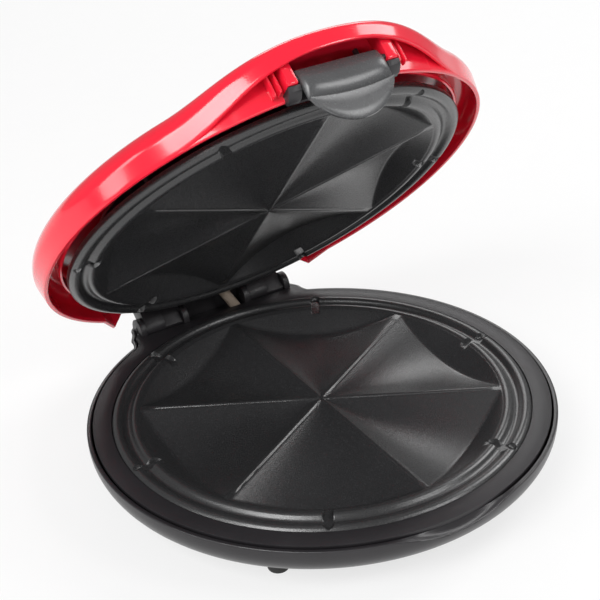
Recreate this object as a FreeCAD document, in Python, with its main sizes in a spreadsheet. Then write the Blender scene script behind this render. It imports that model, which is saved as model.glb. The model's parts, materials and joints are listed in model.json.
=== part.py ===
import FreeCAD, Part
import Sketcher
import math
import os
import re

# Quesadilla maker: a shallow black base, a red lid on two rear hinges, and a latch under the handle.
# Millimetres, +Z up. The origin is on the counter under the centre of the cooking plates,
# the hinge is towards +Y and the handle towards -Y. The lid stands open, as it is shown.

# Driving dimensions
SIZES = {
    # base
    "rim_radius": 125,
    "rim_height": 32.5,
    "rim_break": 30,
    "bottom_height": 5,
    "side_round": 16,
    "belly_round": 60,
    "wall": 2.4,
    "foot_radius": 5.5,
    "foot_circle": 98,
    "post_circle": 104,
    "post_top": 24.6,
    "dip_half": 29,
    "dip_depth": 6,
    # the rear housing and its hinges
    "hinge_y": 123,
    "hinge_height": 35,
    "pin_radius": 2,
    "running_gap": 0.05,
    "knuckle_radius": 5.5,
    "ear_radius": 6.5,
    "arm_inner": 23,
    "arm_outer": 46,
    "cover_half": 21.5,
    "cover_reach": 10.3,
    "cover_back": 130.5,
    "ear_thick": 3.6,
    "side_gap": 0.5,
    "house_half": 57,
    "house_back": 134,
    "house_low": 12,
    "house_slope": 0.439,
    "gland_height": 21,
    "gland_bore": 3.2,
    "gland_neck": 5,
    "gland_head": 8,
    "gland_flange": 1.8,
    # cooking plates
    "parting": 35,
    "plate_gap": 1,
    "plate_radius": 111.4,
    "spoke_top": 0.8,
    "spoke_width": 3.6,
    "spoke_end": 96.3,
    "inner_bead": 98.8,
    "outer_bead": 108.4,
    "bead_half": 2.1,
    "groove_depth": 2.7,
    "plate_thick": 3.2,
    "notch_width": 4.8,
    "pocket_dip": 7.2,
    "pocket_wall_run": 1.28,
    "pocket_floor_thick": 2.6,
    # heating
    "heater_circle": 62,
    "heater_radius": 3.25,
    "heater_drop": 15.2,
    "leg_half": 9,
    "leg_bend": 8,
    "leg_end": 84,
    "clamp_circle": 74,
    "shield_radius": 88,
    "shield_drop": 21.2,
    "shield_stud_circle": 84,
    "sheet_thick": 0.8,
    "seat_gap": 0.12,
    # frame round the lower plate
    "frame_inner": 111.8,
    "frame_outer": 121.6,
    "frame_drop": 1.5,
    "frame_thick": 2.2,
    # lid, given as it lies closed
    "lid_open": 48.9,
    "skirt_radius": 124.5,
    "skirt_low": 38,
    "belt_radius": 126,
    "belt_height": 48,
    "shoulder": 10.5,
    "lid_top": 69,
    "lid_wall": 2.4,
    "ring_inner": 111.8,
    "ring_thick": 2,
    "ring_low": 44.5,
    "handle_reach": 136.5,
    "handle_arc": 88,
    "handle_blend": 60,
    "handle_low": 52.3,
    "handle_top": 62.3,
    "handle_half": 79,
    "flare_x": 75,
    "flare_y": 99.3,
    "corner_x": 66.2,
    "corner_y": 114.2,
    "corner_end": 46,
    "corner_back": 117.8,
    "corner_top": 50.6,
    "gap_top_half": 54,
    "carrier_half": 62,
    "carrier_low": 42,
    "cheek_inner": 23.8,
    "cheek_thick": 5.2,
    "cheek_low": 41.7,
    "cheek_front": 129.2,
    # latch, given as the lid lies closed
    "latch_half": 22.2,
    "latch_face": 128.6,
    "latch_ridge": 34.5,
    "latch_low": 19.8,
    "pivot_y": -126.6,
    "pivot_height": 44.4,
    "latch_pin": 1.5,
    "mount_half": 23.3,
    "mount_lug": 29.6,
    "mount_low": 36.4,
    "mount_row": 116.4,
}

# Directions from +X in degrees: the wedge pockets, which have a spoke between each two, and the fastenings
POCKETS = (0, 60, 120, 180, 240, 300)
THIRDS = (30, 150, 270)
STUDS = (90, 210, 330)
POSTS = (20, 160, 200, 340)
FEET = (45, 135, 225, 315)

doc = FreeCAD.newDocument("quesadilla_maker")
sheet = doc.addObject("Spreadsheet::Sheet", "Sizes")
for row, (alias, number) in enumerate(SIZES.items(), 1):
    sheet.set("A%d" % row, alias)
    sheet.set("B%d" % row, str(number))
    sheet.setAlias("B%d" % row, alias)
doc.recompute()

UP = FreeCAD.Vector(0, 0, 1)
parts = []


def vector(x, y, z):
    return FreeCAD.Vector(x, y, z)


def cell(expression):
    """The expression with each size named on the sheet."""
    def named(match):
        word = match.group(0)
        return "Sizes." + word if word in SIZES else word
    return re.sub(r"[a-z_]+", named, str(expression))


def size(expression):
    """The number that an expression on the sheet stands for."""
    result = sheet.evalExpression(cell(expression))
    return float(getattr(result, "Value", result))


def bind(thing, field, expression):
    thing.setExpression(field, cell(expression))


def turned(angle, axis=UP, centre=None):
    return FreeCAD.Placement(vector(0, 0, 0), FreeCAD.Rotation(axis, angle), centre or vector(0, 0, 0))


def finish(thing, label, placement=None):
    """Name a finished sub-part and stand it where it belongs."""
    thing.Label = label
    if placement is not None:
        thing.Placement = placement
    parts.append(thing)
    return thing


# Sketches and the solids made from them

def new_body(name):
    return doc.addObject("PartDesign::Body", name)


def plane_of(body, role):
    return [feature for feature in body.Origin.OriginFeatures if feature.Role == role][0]


def new_sketch(body, name, role, offset=0):
    sketch = body.newObject("Sketcher::SketchObject", name)
    sketch.AttachmentSupport = (plane_of(body, role), [""])
    sketch.MapMode = "FlatFace"
    sketch.AttachmentOffset = FreeCAD.Placement(vector(0, 0, size(offset)), FreeCAD.Rotation())
    if offset != 0:
        bind(sketch, "AttachmentOffset.Base.z", offset)
    return sketch


def fix_point(sketch, edge, end, x, y):
    """Tie one end of an edge to its place on the sheet."""
    for axis, kind, place in ((-2, "DistanceX", x), (-1, "DistanceY", y)):
        number = size(place)
        if abs(number) < 1e-9:
            sketch.addConstraint(Sketcher.Constraint("PointOnObject", edge, end, axis))
        else:
            index = sketch.addConstraint(Sketcher.Constraint(kind, -1, 1, edge, end, number))
            sketch.renameConstraint(index, "c%d" % index)
            bind(sketch, "Constraints.c%d" % index, place)


def arc_between(a, b, radius, turn):
    """An arc from a to b; turn is 1 anticlockwise and -1 clockwise."""
    chord = b - a
    rise = math.sqrt(max(radius ** 2 - (chord.Length / 2) ** 2, 0))
    across = vector(-chord.y, chord.x, 0).normalize()
    centre = (a + b) * 0.5 + across * rise * turn
    start, end = (a, b) if turn > 0 else (b, a)
    first = math.atan2(start.y - centre.y, start.x - centre.x)
    last = math.atan2(end.y - centre.y, end.x - centre.x)
    return Part.ArcOfCircle(Part.Circle(centre, UP, radius), first, last)


def outline(sketch, corners, closed=True):
    """Edges from corner to corner. A corner is x, y, and for an arc that ends there a radius and a turn."""
    places = [vector(size(corner[0]), size(corner[1]), 0) for corner in corners]
    ends = []
    for index, corner in enumerate(corners):
        if index == 0 and not closed:
            continue
        before, here = places[index - 1], places[index]
        if len(corner) == 2:
            edge = sketch.addGeometry(Part.LineSegment(before, here), False)
            ends.append((edge, 1, 2, index))
            continue
        radius, turn = corner[2], corner[3]
        edge = sketch.addGeometry(arc_between(before, here, size(radius), turn), False)
        ends.append((edge, 1, 2, index) if turn > 0 else (edge, 2, 1, index))
        mark = sketch.addConstraint(Sketcher.Constraint("Radius", edge, size(radius)))
        sketch.renameConstraint(mark, "r%d" % mark)
        bind(sketch, "Constraints.r%d" % mark, radius)
    for number, (edge, start, end, index) in enumerate(ends):
        fix_point(sketch, edge, end, corners[index][0], corners[index][1])
        if closed or number > 0:
            last_edge, _, last_end, _ = ends[number - 1]
            sketch.addConstraint(Sketcher.Constraint("Coincident", last_edge, last_end, edge, start))
        else:
            fix_point(sketch, edge, start, corners[0][0], corners[0][1])
    return sketch


def ring_sketch(body, name, role, offset, x, y, radius):
    """A sketch of one circle."""
    sketch = new_sketch(body, name, role, offset)
    circle = Part.Circle(vector(size(x), size(y), 0), UP, size(radius))
    edge = sketch.addGeometry(circle, False)
    fix_point(sketch, edge, 3, x, y)
    mark = sketch.addConstraint(Sketcher.Constraint("Radius", edge, size(radius)))
    sketch.renameConstraint(mark, "r%d" % mark)
    bind(sketch, "Constraints.r%d" % mark, radius)
    return sketch


def revolved(name, corners):
    """A body of revolution about Z, from its outline in X and Z."""
    body = new_body(name)
    sketch = outline(new_sketch(body, name + "_profile", "XZ_Plane"), corners)
    turn = body.newObject("PartDesign::Revolution", name + "_turn")
    turn.Profile = sketch
    turn.ReferenceAxis = (sketch, ["V_Axis"])
    turn.Angle = 360
    body.Tip = turn
    return body


def padded(name, role, corners, length, offset=0):
    """A body padded from an outline, along the plane's normal, from the offset on."""
    body = new_body(name)
    sketch = outline(new_sketch(body, name + "_outline", role, offset), corners)
    pad = body.newObject("PartDesign::Pad", name + "_pad")
    pad.Profile = sketch
    pad.Length = size(length)
    bind(pad, "Length", length)
    body.Tip = pad
    return body


# Primitives and booleans

def bind_place(thing, x, y, z):
    thing.Placement.Base = vector(size(x), size(y), size(z))
    for axis, place in (("x", x), ("y", y), ("z", z)):
        bind(thing, "Placement.Base." + axis, place)


def box(name, x, y, z):
    """A box between the two places given on each axis."""
    block = doc.addObject("Part::Box", name)
    for side, (low, high) in (("Length", x), ("Width", y), ("Height", z)):
        length = "(%s) - (%s)" % (high, low)
        setattr(block, side, size(length))
        bind(block, side, length)
    bind_place(block, x[0], y[0], z[0])
    return block


def swung_box(name, angle, x, y, z):
    """A box turned about Z by an angle in degrees."""
    block = box(name, x, y, z)
    block.Placement.Rotation = FreeCAD.Rotation(UP, angle)
    bind_place(block, "(%s) * cos(%g) - (%s) * sin(%g)" % (x[0], angle, y[0], angle),
               "(%s) * sin(%g) + (%s) * cos(%g)" % (x[0], angle, y[0], angle), z[0])
    return block


def cylinder(name, radius, x, y, low, high):
    """An upright cylinder between two heights."""
    rod = doc.addObject("Part::Cylinder", name)
    rod.Radius = size(radius)
    bind(rod, "Radius", radius)
    height = "(%s) - (%s)" % (high, low)
    rod.Height = size(height)
    bind(rod, "Height", height)
    bind_place(rod, x, y, low)
    return rod


def rod_x(name, radius, y, z, left, right):
    """A cylinder along X between two places."""
    rod = cylinder(name, radius, left, y, 0, "(%s) - (%s)" % (right, left))
    bind(rod, "Placement.Base.z", z)
    rod.Placement.Rotation = FreeCAD.Rotation(vector(0, 1, 0), 90)
    return rod


def polar(name, radius, circle, angle, low, high):
    """An upright cylinder at an angle on a circle about Z."""
    return cylinder(name, radius, "(%s) * cos(%g)" % (circle, angle),
                    "(%s) * sin(%g)" % (circle, angle), low, high)


def tube(name, inner, outer, low, high):
    """An upright ring about Z."""
    return revolved(name, [(inner, low), (outer, low), (outer, high), (inner, high)])


def fused(name, things):
    union = doc.addObject("Part::MultiFuse", name)
    union.Shapes = things
    return union


def common(name, first, second):
    both = doc.addObject("Part::MultiCommon", name)
    both.Shapes = [first, second]
    return both


def cut(name, base, tools):
    rest = doc.addObject("Part::Cut", name)
    rest.Base = base
    rest.Tool = tools[0] if len(tools) == 1 else fused(name + "_tools", tools)
    return rest


def group(name, things):
    together = doc.addObject("Part::Compound", name)
    together.Links = things
    return together


def screw(name, circle, angle, low, high, shank=1.4, head=2.8, head_high=1.6, down=False):
    """A pan-head screw on a circle: the head is below its shank, or above it when down is true."""
    shaft = polar(name + "_shank", shank, circle, angle, low, high)
    if down:
        cap = polar(name + "_head", head, circle, angle, high, "(%s) + %g" % (high, head_high))
    else:
        cap = polar(name + "_head", head, circle, angle, "(%s) - %g" % (low, head_high), low)
    return fused(name, [shaft, cap])


# Where things stand
closed_lid = FreeCAD.Placement(vector(0, 0, size("parting + plate_gap")),
                               FreeCAD.Rotation(vector(0, 1, 0), 180))
opened = turned(size("lid_open"), vector(-1, 0, 0), vector(0, size("hinge_y"), size("hinge_height")))
lower_place = FreeCAD.Placement(vector(0, 0, size("parting")), FreeCAD.Rotation())
upper_place = opened.multiply(closed_lid)


# The gland's axis stands square to the sloping rear wall; its flange lies flat on that wall
wall_lean = math.degrees(math.atan(size("house_slope")))
wall_back = size("house_back - house_slope * (rim_height - gland_height)")
gland_place = FreeCAD.Placement(vector(0, wall_back, size("gland_height")),
                                FreeCAD.Rotation(vector(1, 0, 0), 90 - wall_lean))


# Base shell
def bowl(name, inset, top):
    """The solid bowl of the base: a flat bottom, a wide belly arc, a tight side arc and an upright rim."""
    side = "(side_round - %s)" % inset
    belly = "(belly_round - %s)" % inset
    side_x = "(rim_radius - side_round)"
    belly_z = "(bottom_height + belly_round)"
    apart = "(belly_round - side_round)"
    drop = "(%s - rim_break)" % belly_z
    flat = "(%s - sqrt(%s ^ 2 - %s ^ 2))" % (side_x, apart, drop)
    join_x = "%s + %s * (%s - %s) / %s" % (flat, belly, side_x, flat, apart)
    join_z = "%s - %s * %s / %s" % (belly_z, belly, drop, apart)
    return revolved(name, [
        ("0", top),
        ("0", "bottom_height + %s" % inset),
        (flat, "bottom_height + %s" % inset),
        (join_x, join_z, belly, 1),
        ("rim_radius - %s" % inset, "rim_break", side, 1),
        ("rim_radius - %s" % inset, top)])


def rear_outline(inset, half, back):
    """Plan of the rear housing: it swells out of the round bowl and closes with two rounded corners."""
    return [
        ("-(%s) - 9 + %s" % (half, inset), "70"),
        ("%s + 9 - %s" % (half, inset), "70"),
        ("%s + 9 - %s" % (half, inset), "105"),
        ("%s - %s" % (half, inset), "118", "26", -1),
        ("%s - 4 - %s" % (half, inset), "%s - 9 - %s" % (back, inset)),
        ("%s - 13 - %s" % (half, inset), "%s - %s" % (back, inset), "9.3", 1),
        ("-(%s - 13 - %s)" % (half, inset), "%s - %s" % (back, inset)),
        ("-(%s - 4 - %s)" % (half, inset), "%s - 9 - %s" % (back, inset), "9.3", 1),
        ("-(%s - %s)" % (half, inset), "118"),
        ("-(%s) - 9 + %s" % (half, inset), "105", "26", -1)]


def rear_housing(name, inset, low, top):
    """The housing behind the bowl, lofted so that it tapers downwards at one slope inside and out."""
    body = new_body(name)
    ends = []
    for end, height in (("_bottom", low), ("_top", top)):
        taper = "house_slope * (rim_height - (%s))" % height
        ends.append(outline(new_sketch(body, name + end, "XY_Plane", height),
                            rear_outline(inset, "(house_half - %s)" % taper, "(house_back - %s)" % taper)))
    narrow, wide = ends
    loft = body.newObject("PartDesign::AdditiveLoft", name + "_loft")
    loft.Profile = narrow
    loft.Sections = [wide]
    loft.Ruled = True
    body.Tip = loft
    return body


def base_shell():
    outer = fused("shell_outer", [bowl("bowl_outer", "0", "rim_height"),
                                  rear_housing("house_outer", "0", "house_low", "rim_height")])
    inner = fused("shell_inner", [bowl("bowl_inner", "wall", "rim_height + 6"),
                                  rear_housing("house_inner", "wall", "house_low + wall", "rim_height + 6")])
    # the dip in the rim for the latch, an arc cut through the front
    dip_arc = "((dip_half ^ 2 + dip_depth ^ 2) / (2 * dip_depth))"
    dip_top = "sqrt(%s ^ 2 - (%s - dip_depth - 2) ^ 2)" % (dip_arc, dip_arc)
    dip = padded("rim_dip", "XZ_Plane", [
        ("-" + dip_top, "rim_height + 2"),
        (dip_top, "rim_height + 2", dip_arc, 1)], "40", "100")
    bays = [box("wall_bay_left", ("-arm_outer - side_gap", "-arm_inner + side_gap"),
                ("116.8", "house_back + 2"), ("26.5", "rim_height + 2")),
            box("wall_bay_right", ("arm_inner - side_gap", "arm_outer + side_gap"),
                ("116.8", "house_back + 2"), ("26.5", "rim_height + 2"))]
    gland_hole = group("gland_hole", [cylinder("gland_bore", "gland_neck + running_gap", "0", "0", "-4", "9")])
    gland_hole.Placement = gland_place
    hollow = cut("shell_hollow", outer, [inner, dip, gland_hole] + bays)
    posts = [polar("post_%d" % angle, "4.5", "post_circle", angle, "bottom_height", "post_top")
             for angle in POSTS]
    posts.append(box("block_pad", ("15", "39"), ("91", "101"), ("bottom_height", "13.8")))
    posts = [common("posts_in", fused("posts_all", posts), bowl("post_limit", "1", "rim_height"))]
    holes = []
    for angle in POSTS:
        holes.append(polar("post_bore_%d" % angle, "1.6", "post_circle", angle, "4", "post_top + 1"))
        holes.append(polar("post_head_%d" % angle, "3.4", "post_circle", angle, "4", "16"))
    whole = fused("shell_posts", [hollow] + posts)
    finish(cut("base_shell", whole, holes), "base_shell")


base_shell()


def base_frame():
    """The ring round the lower plate, its rear deck over the housing, and the hinge ears on it."""
    top = "(parting - frame_drop)"
    low = "(parting - frame_drop - frame_thick)"
    ring = revolved("frame_ring", [
        ("frame_inner", top),
        ("frame_inner", "parting - spoke_top - plate_thick - 0.9"),
        ("frame_inner - 4.2", "parting - spoke_top - plate_thick - 0.9"),
        ("frame_inner - 4.2", "parting - 7.1"),
        ("frame_inner", "parting - 7.1"),
        ("frame_inner", "post_top"),
        ("frame_inner + 2.2", "post_top"),
        ("frame_inner + 2.2", low),
        ("frame_outer", low),
        ("frame_outer", top)])
    deck = padded("frame_deck", "XY_Plane",
                  rear_outline("(wall + 0.9)", "house_half", "house_back"),
                  "frame_thick", low)
    clear = cylinder("deck_clear", "frame_outer - 3", "0", "0", "20", "40")
    deck = cut("frame_deck_cut", deck, [clear])
    lugs = []
    holes = []
    for angle in POSTS:
        lugs.append(swung_box("lug_%d" % angle, angle, ("99", "frame_inner + 1"), ("-5", "5"),
                              ("post_top", "post_top + 2.2")))
        holes.append(polar("lug_bore_%d" % angle, "1.4", "post_circle", angle, "20", "30"))
    for angle in THIRDS:
        lugs.append(swung_box("tab_%d" % angle, angle, ("98", "frame_inner + 1"), ("-5", "5"),
                              ("parting - 10.2", "parting - 8")))
        holes.append(polar("tab_bore_%d" % angle, "1.6", "102.5", angle, "parting - 11", "parting - 7"))
    ears = []
    spans = (("arm_outer + side_gap", "arm_outer + side_gap + ear_thick"),
             ("arm_inner - side_gap - ear_thick", "arm_inner - side_gap"))
    for side, flip in (("right", False), ("left", True)):
        for number, (near, far) in enumerate(spans):
            start, end = ("-(%s)" % far, "-(%s)" % near) if flip else (near, far)
            name = "ear_%s_%d" % (side, number)
            ears.append(rod_x(name + "_round", "ear_radius", "hinge_y", "hinge_height", start, end))
            ears.append(box(name + "_foot", (start, end),
                            ("hinge_y - ear_radius", "hinge_y + ear_radius"),
                            ("rim_height + 0.3", "hinge_height")))
    for side, start, end in (("left", "-arm_outer - side_gap", "-arm_inner + side_gap"),
                             ("right", "arm_inner - side_gap", "arm_outer + side_gap")):
        holes.append(box("bay_" + side, (start, end), ("116.8", "house_back + 2"), ("20", "45")))
        near = "arm_inner - side_gap - ear_thick"
        far = "arm_outer + side_gap + ear_thick"
        if side == "left":
            near, far = "-(%s)" % far, "-(%s)" % near
        holes.append(rod_x("ear_bore_" + side, "pin_radius", "hinge_y", "hinge_height", near, far))
    holes.append(cylinder("sleeve_hole", "2.7", "14.5", "119.6", "25", "40"))
    holes.append(box("cover_notch", ("5", "13.6"), ("122", "132"), ("41.2", "48")))
    # an upstand behind the sleeve, whose top keeps within the lid's swing
    rise = "sqrt(cover_reach ^ 2 - (cover_back - hinge_y) ^ 2)"
    lugs.append(padded("cover", "YZ_Plane", [
        ("cover_back", low),
        ("cover_back", "hinge_height + " + rise),
        ("hinge_y + cover_reach * 0.34", "hinge_height + cover_reach * sqrt(1 - 0.34 ^ 2)", "cover_reach", 1),
        ("hinge_y + cover_reach * 0.34 - 0.7", "hinge_height + cover_reach * sqrt(1 - 0.34 ^ 2) - 2"),
        ("cover_back - wall", "hinge_height + %s - 1.2" % rise, "cover_reach - 2", -1),
        ("cover_back - wall", low)], "2 * cover_half", "-cover_half"))
    # the ears stop clear above the housing's rim and stand on the deck alone
    under = box("under_ears", ("-house_half", "house_half"), ("110", "135"), ("20", "rim_height + 0.3"))
    ears = cut("ears", fused("ears_all", ears), [under])
    whole = fused("frame_whole", [ring, deck, ears] + lugs)
    finish(cut("base_frame", whole, holes), "base_frame")


base_frame()


# Cooking plates: one casting, used twice, given with its bead tops at height 0 and the food side up
def cone_towards(name, angle, drop, length="84"):
    """The round-bottomed wedge of one pocket: a leaning cone whose lowest line dips outwards
    and whose wall passes through the edges of both spokes."""
    lean = "atan((cos(pocket_dip) - cos(30)) / sin(pocket_dip))"
    half = "(%s + pocket_dip * 1 deg)" % lean
    cone = doc.addObject("Part::Cone", name)
    cone.Radius1 = 0
    cone.Radius2 = size("%s * tan(%s)" % (length, half))
    bind(cone, "Radius2", "%s * tan(%s)" % (length, half))
    cone.Height = size(length)
    bind(cone, "Height", length)
    axis = FreeCAD.Rotation(vector(0, 1, 0), 90 - size(lean))
    start = vector(size("spoke_width"), 0, -size("spoke_top + %s" % drop))
    cone.Placement = turned(angle).multiply(FreeCAD.Placement(start, axis))
    return cone


def wall_cone(name, grow, low, high):
    """The outer wall of the pockets, a cone about Z that narrows downwards."""
    wall = doc.addObject("Part::Cone", name)
    wide = "spoke_end + %s + pocket_wall_run * (%s + spoke_top)" % (grow, high)
    narrow = "spoke_end + %s + pocket_wall_run * (%s + spoke_top)" % (grow, low)
    wall.Radius1 = size(narrow)
    bind(wall, "Radius1", narrow)
    wall.Radius2 = size(wide)
    bind(wall, "Radius2", wide)
    height = "(%s) - (%s)" % (high, low)
    wall.Height = size(height)
    bind(wall, "Height", height)
    bind_place(wall, "0", "0", low)
    return wall


def cooking_plate(side, place):
    name = "plate_" + side
    rise = "(bead_half ^ 2 + spoke_top ^ 2) / (2 * spoke_top)"
    groove_half = "((outer_bead - inner_bead) / 2 - bead_half)"
    sag = "(groove_depth - spoke_top)"
    bend = "(%s ^ 2 + %s ^ 2) / (2 * %s)" % (groove_half, sag, sag)
    disc = revolved(name + "_disc", [
        ("0", "-spoke_top - plate_thick"),
        ("plate_radius", "-spoke_top - plate_thick"),
        ("plate_radius", "-spoke_top - 1"),
        ("outer_bead + bead_half", "-spoke_top"),
        ("outer_bead - bead_half", "-spoke_top", rise, 1),
        ("inner_bead + bead_half", "-spoke_top", bend, -1),
        ("inner_bead - bead_half", "-spoke_top", rise, 1),
        ("0", "-spoke_top")])
    under_cones = []
    pocket_cones = []
    wall_under = wall_cone(name + "_wall_under", "3.2", "-17", "-spoke_top - 0.5")
    wall_pocket = wall_cone(name + "_wall_pocket", "0", "-15", "-spoke_top")
    for angle in POCKETS:
        under_cones.append(common("%s_under_%d" % (name, angle),
                                  cone_towards("%s_ucone_%d" % (name, angle), angle, "pocket_floor_thick"),
                                  wall_under))
        pocket_cones.append(common("%s_pocket_%d" % (name, angle),
                                   cone_towards("%s_cone_%d" % (name, angle), angle, "0"), wall_pocket))
    ring = tube(name + "_heater_seat", "heater_circle - 6", "heater_circle + 6", "-14.4", "-spoke_top - 1")
    hub = cylinder(name + "_hub", "13", "0", "0", "-12", "-spoke_top - 1")
    studs = [polar("%s_clamp_stud_%d" % (name, angle), "4", "clamp_circle", angle, "-18.5", "-2")
             for angle in THIRDS]
    studs += [polar("%s_shield_stud_%d" % (name, angle), "3.5", "shield_stud_circle", angle,
                    "-shield_drop", "-2") for angle in STUDS]
    studs += [polar("%s_rim_stud_%d" % (name, angle), "4", "102.5", angle, "-8", "-3") for angle in THIRDS]
    fuse_pad = box(name + "_fuse_pad", ("-9", "9"), ("-36", "-26"), ("-10", "-2"))
    raw = fused(name + "_raw", [disc, ring, hub, fuse_pad] + under_cones + studs)
    notches = []
    for angle in POCKETS:
        notches.append(swung_box("%s_notch_%d" % (name, angle), angle,
                                 ("inner_bead - 5", "outer_bead - 0.3"),
                                 ("-notch_width / 2", "notch_width / 2"), ("-groove_depth", "1")))
        notches.append(polar("%s_notch_end_%d" % (name, angle), "notch_width / 2",
                             "outer_bead - 0.3", angle, "-groove_depth", "1"))
    seat = doc.addObject("Part::Torus", name + "_seat")
    seat.Radius1 = size("heater_circle")
    seat.Radius2 = size("heater_radius + seat_gap")
    bind(seat, "Radius1", "heater_circle")
    bind(seat, "Radius2", "heater_radius + seat_gap")
    seat.Placement.Base = vector(0, 0, -size("heater_drop"))
    leg_room = box(name + "_leg_room", ("-leg_half - 9", "leg_half + 9"), ("54", "72"), ("-19", "-11.9"))
    bores = [polar("%s_clamp_bore_%d" % (name, angle), "1.4", "clamp_circle", angle, "-19", "-8")
             for angle in THIRDS]
    bores += [polar("%s_stud_bore_%d" % (name, angle), "1.4", "shield_stud_circle", angle, "-22", "-12")
              for angle in STUDS]
    bores += [polar("%s_rim_bore_%d" % (name, angle), "1.4", "102.5", angle, "-9", "-3.6")
              for angle in THIRDS]
    finish(cut(name, raw, pocket_cones + notches + [seat, leg_room] + bores), "cooking_plate_" + side, place)


cooking_plate("lower", lower_place)
cooking_plate("upper", upper_place)


# Heating elements, their ceramic ends, clamps, shields and screws: the same set under each plate
def heating_element(side, place):
    name = "element_" + side
    body = new_body(name)
    away = "(heater_circle + leg_bend)"
    reach = "sqrt(%s ^ 2 - (leg_half + leg_bend) ^ 2)" % away
    meet_x = "(leg_half + leg_bend) * heater_circle / %s" % away
    meet_y = "%s * heater_circle / %s" % (reach, away)
    path = new_sketch(body, name + "_path", "XY_Plane", "-heater_drop")
    outline(path, [
        ("leg_half", "leg_end"),
        ("leg_half", reach),
        (meet_x, meet_y, "leg_bend", 1),
        ("0", "-heater_circle", "heater_circle", -1),
        ("-(%s)" % meet_x, meet_y, "heater_circle", -1),
        ("-leg_half", reach, "leg_bend", 1),
        ("-leg_half", "leg_end")], closed=False)
    section = ring_sketch(body, name + "_section", "XZ_Plane", "-leg_end", "leg_half", "-heater_drop",
                          "heater_radius")
    pipe = body.newObject("PartDesign::AdditivePipe", name + "_pipe")
    pipe.Profile = section
    pipe.Spine = path
    body.Tip = pipe
    finish(body, "heating_element_" + side, place)
    ends = []
    for number, x in enumerate(("-leg_half", "leg_half")):
        bead = cylinder("%s_bead_%d" % (name, number), "2.6", x, "0", "0", "3")
        pin = cylinder("%s_pin_%d" % (name, number), "1.2", x, "0", "3", "10")
        end = fused("%s_end_%d" % (name, number), [bead, pin])
        end.Placement = FreeCAD.Placement(vector(0, size("leg_end"), -size("heater_drop")),
                                          FreeCAD.Rotation(vector(1, 0, 0), -90))
        ends.append(end)
    finish(group(name + "_ends", ends), "element_ends_" + side, place)


def plate_fittings(side, place):
    clamps = []
    screws = []
    for angle in THIRDS:
        strap = swung_box("strap_%s_%d" % (side, angle), angle, ("heater_circle - 7", "clamp_circle + 4"),
                          ("-5", "5"), ("-19.7", "-18.5"))
        bore = polar("strap_bore_%s_%d" % (side, angle), "1.6", "clamp_circle", angle, "-21", "-17")
        clamps.append(cut("clamp_%s_%d" % (side, angle), strap, [bore]))
        screws.append(screw("clamp_screw_%s_%d" % (side, angle), "clamp_circle", angle, "-19.7", "-10",
                            shank=1.38, head=2.6, head_high=1.1))
    finish(group("clamps_" + side, clamps), "element_clamps_" + side, place)
    finish(group("clamp_screws_" + side, screws), "clamp_screws_" + side, place)
    dish = revolved("shield_dish_" + side, [
        ("0", "-shield_drop - sheet_thick"),
        ("shield_radius", "-shield_drop - sheet_thick"),
        ("shield_radius + 3", "-shield_drop + 3"),
        ("shield_radius + 2", "-shield_drop + 3"),
        ("shield_radius - 0.6", "-shield_drop"),
        ("0", "-shield_drop")])
    bores = [polar("shield_bore_%s_%d" % (side, angle), "1.6", "shield_stud_circle", angle, "-24", "-20")
             for angle in STUDS]
    shield = cut("shield_" + side, dish, bores)
    finish(shield, "heat_shield_" + side, place)
    studs = [screw("shield_screw_%s_%d" % (side, angle), "shield_stud_circle", angle,
                   "-shield_drop - sheet_thick", "-14", shank=1.38, head=2.6) for angle in STUDS]
    finish(group("shield_screws_" + side, studs), "shield_screws_" + side, place)
    rims = [screw("plate_screw_%s_%d" % (side, angle), "102.5", angle, "-10.2", "-4.4", shank=1.38)
            for angle in THIRDS]
    finish(group("plate_screws_" + side, rims), "plate_screws_" + side, place)


for side, place in (("lower", lower_place), ("upper", upper_place)):
    heating_element(side, place)
    plate_fittings(side, place)


def control_parts():
    """Thermostat and thermal fuse under the lower plate, terminal block and cord gland in the base."""
    can = cylinder("thermostat_can", "8", "0", "0", "-20", "-13")
    flange = box("thermostat_flange", ("-12", "12"), ("-4.5", "4.5"), ("-13", "-12"))
    finish(fused("thermostat", [can, flange]), "thermostat", lower_place)
    barrel = rod_x("fuse_barrel", "2.2", "-31", "-12.8", "-7", "7")
    leads = rod_x("fuse_leads", "0.6", "-31", "-12.8", "-14", "14")
    finish(fused("fuse", [barrel, leads]), "thermal_fuse", lower_place)
    clip = box("clip_block", ("-3", "3"), ("-35", "-27"), ("-15.4", "-10"))
    bore = rod_x("clip_bore", "2.2", "-31", "-12.8", "-5", "5")
    finish(cut("clip", clip, [bore]), "fuse_clip", lower_place)
    block = box("block_body", ("16", "38"), ("91.5", "100.5"), ("13.8", "21.8"))
    bores = [cylinder("block_bore_%d" % x, "1.6", str(x), "96", "17", "23") for x in (20, 27, 34)]
    finish(cut("block", block, bores), "terminal_block")
    gland = revolved("gland", [
        ("gland_bore", "-gland_flange"),
        ("gland_head", "-gland_flange"),
        ("gland_head", "0"),
        ("gland_neck", "0"),
        ("gland_neck", "5.2"),
        ("gland_bore", "5.2")])
    finish(gland, "cord_gland", gland_place)


control_parts()


# Lid, given as it lies closed and then swung open about the hinge
def dome_profile(inset):
    """Outer line of the lid from the crown to the belt, moved inwards by the inset."""
    round_x = "(belt_radius - shoulder)"
    rise = "(lid_top - belt_height)"
    crown = "((%s ^ 2 + %s ^ 2 - shoulder ^ 2) / (2 * (%s - shoulder)))" % (round_x, rise, rise)
    low = "(lid_top - %s)" % crown
    reach = "(%s - shoulder)" % crown
    join_x = "%s * (%s - %s) / %s" % (round_x, crown, inset, reach)
    join_z = "%s + (belt_height - %s) * (%s - %s) / %s" % (low, low, crown, inset, reach)
    return [("0", "lid_top - %s" % inset),
            (join_x, join_z, "%s - %s" % (crown, inset), -1),
            ("belt_radius - %s" % inset, "belt_height", "shoulder - %s" % inset, -1)]


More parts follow.
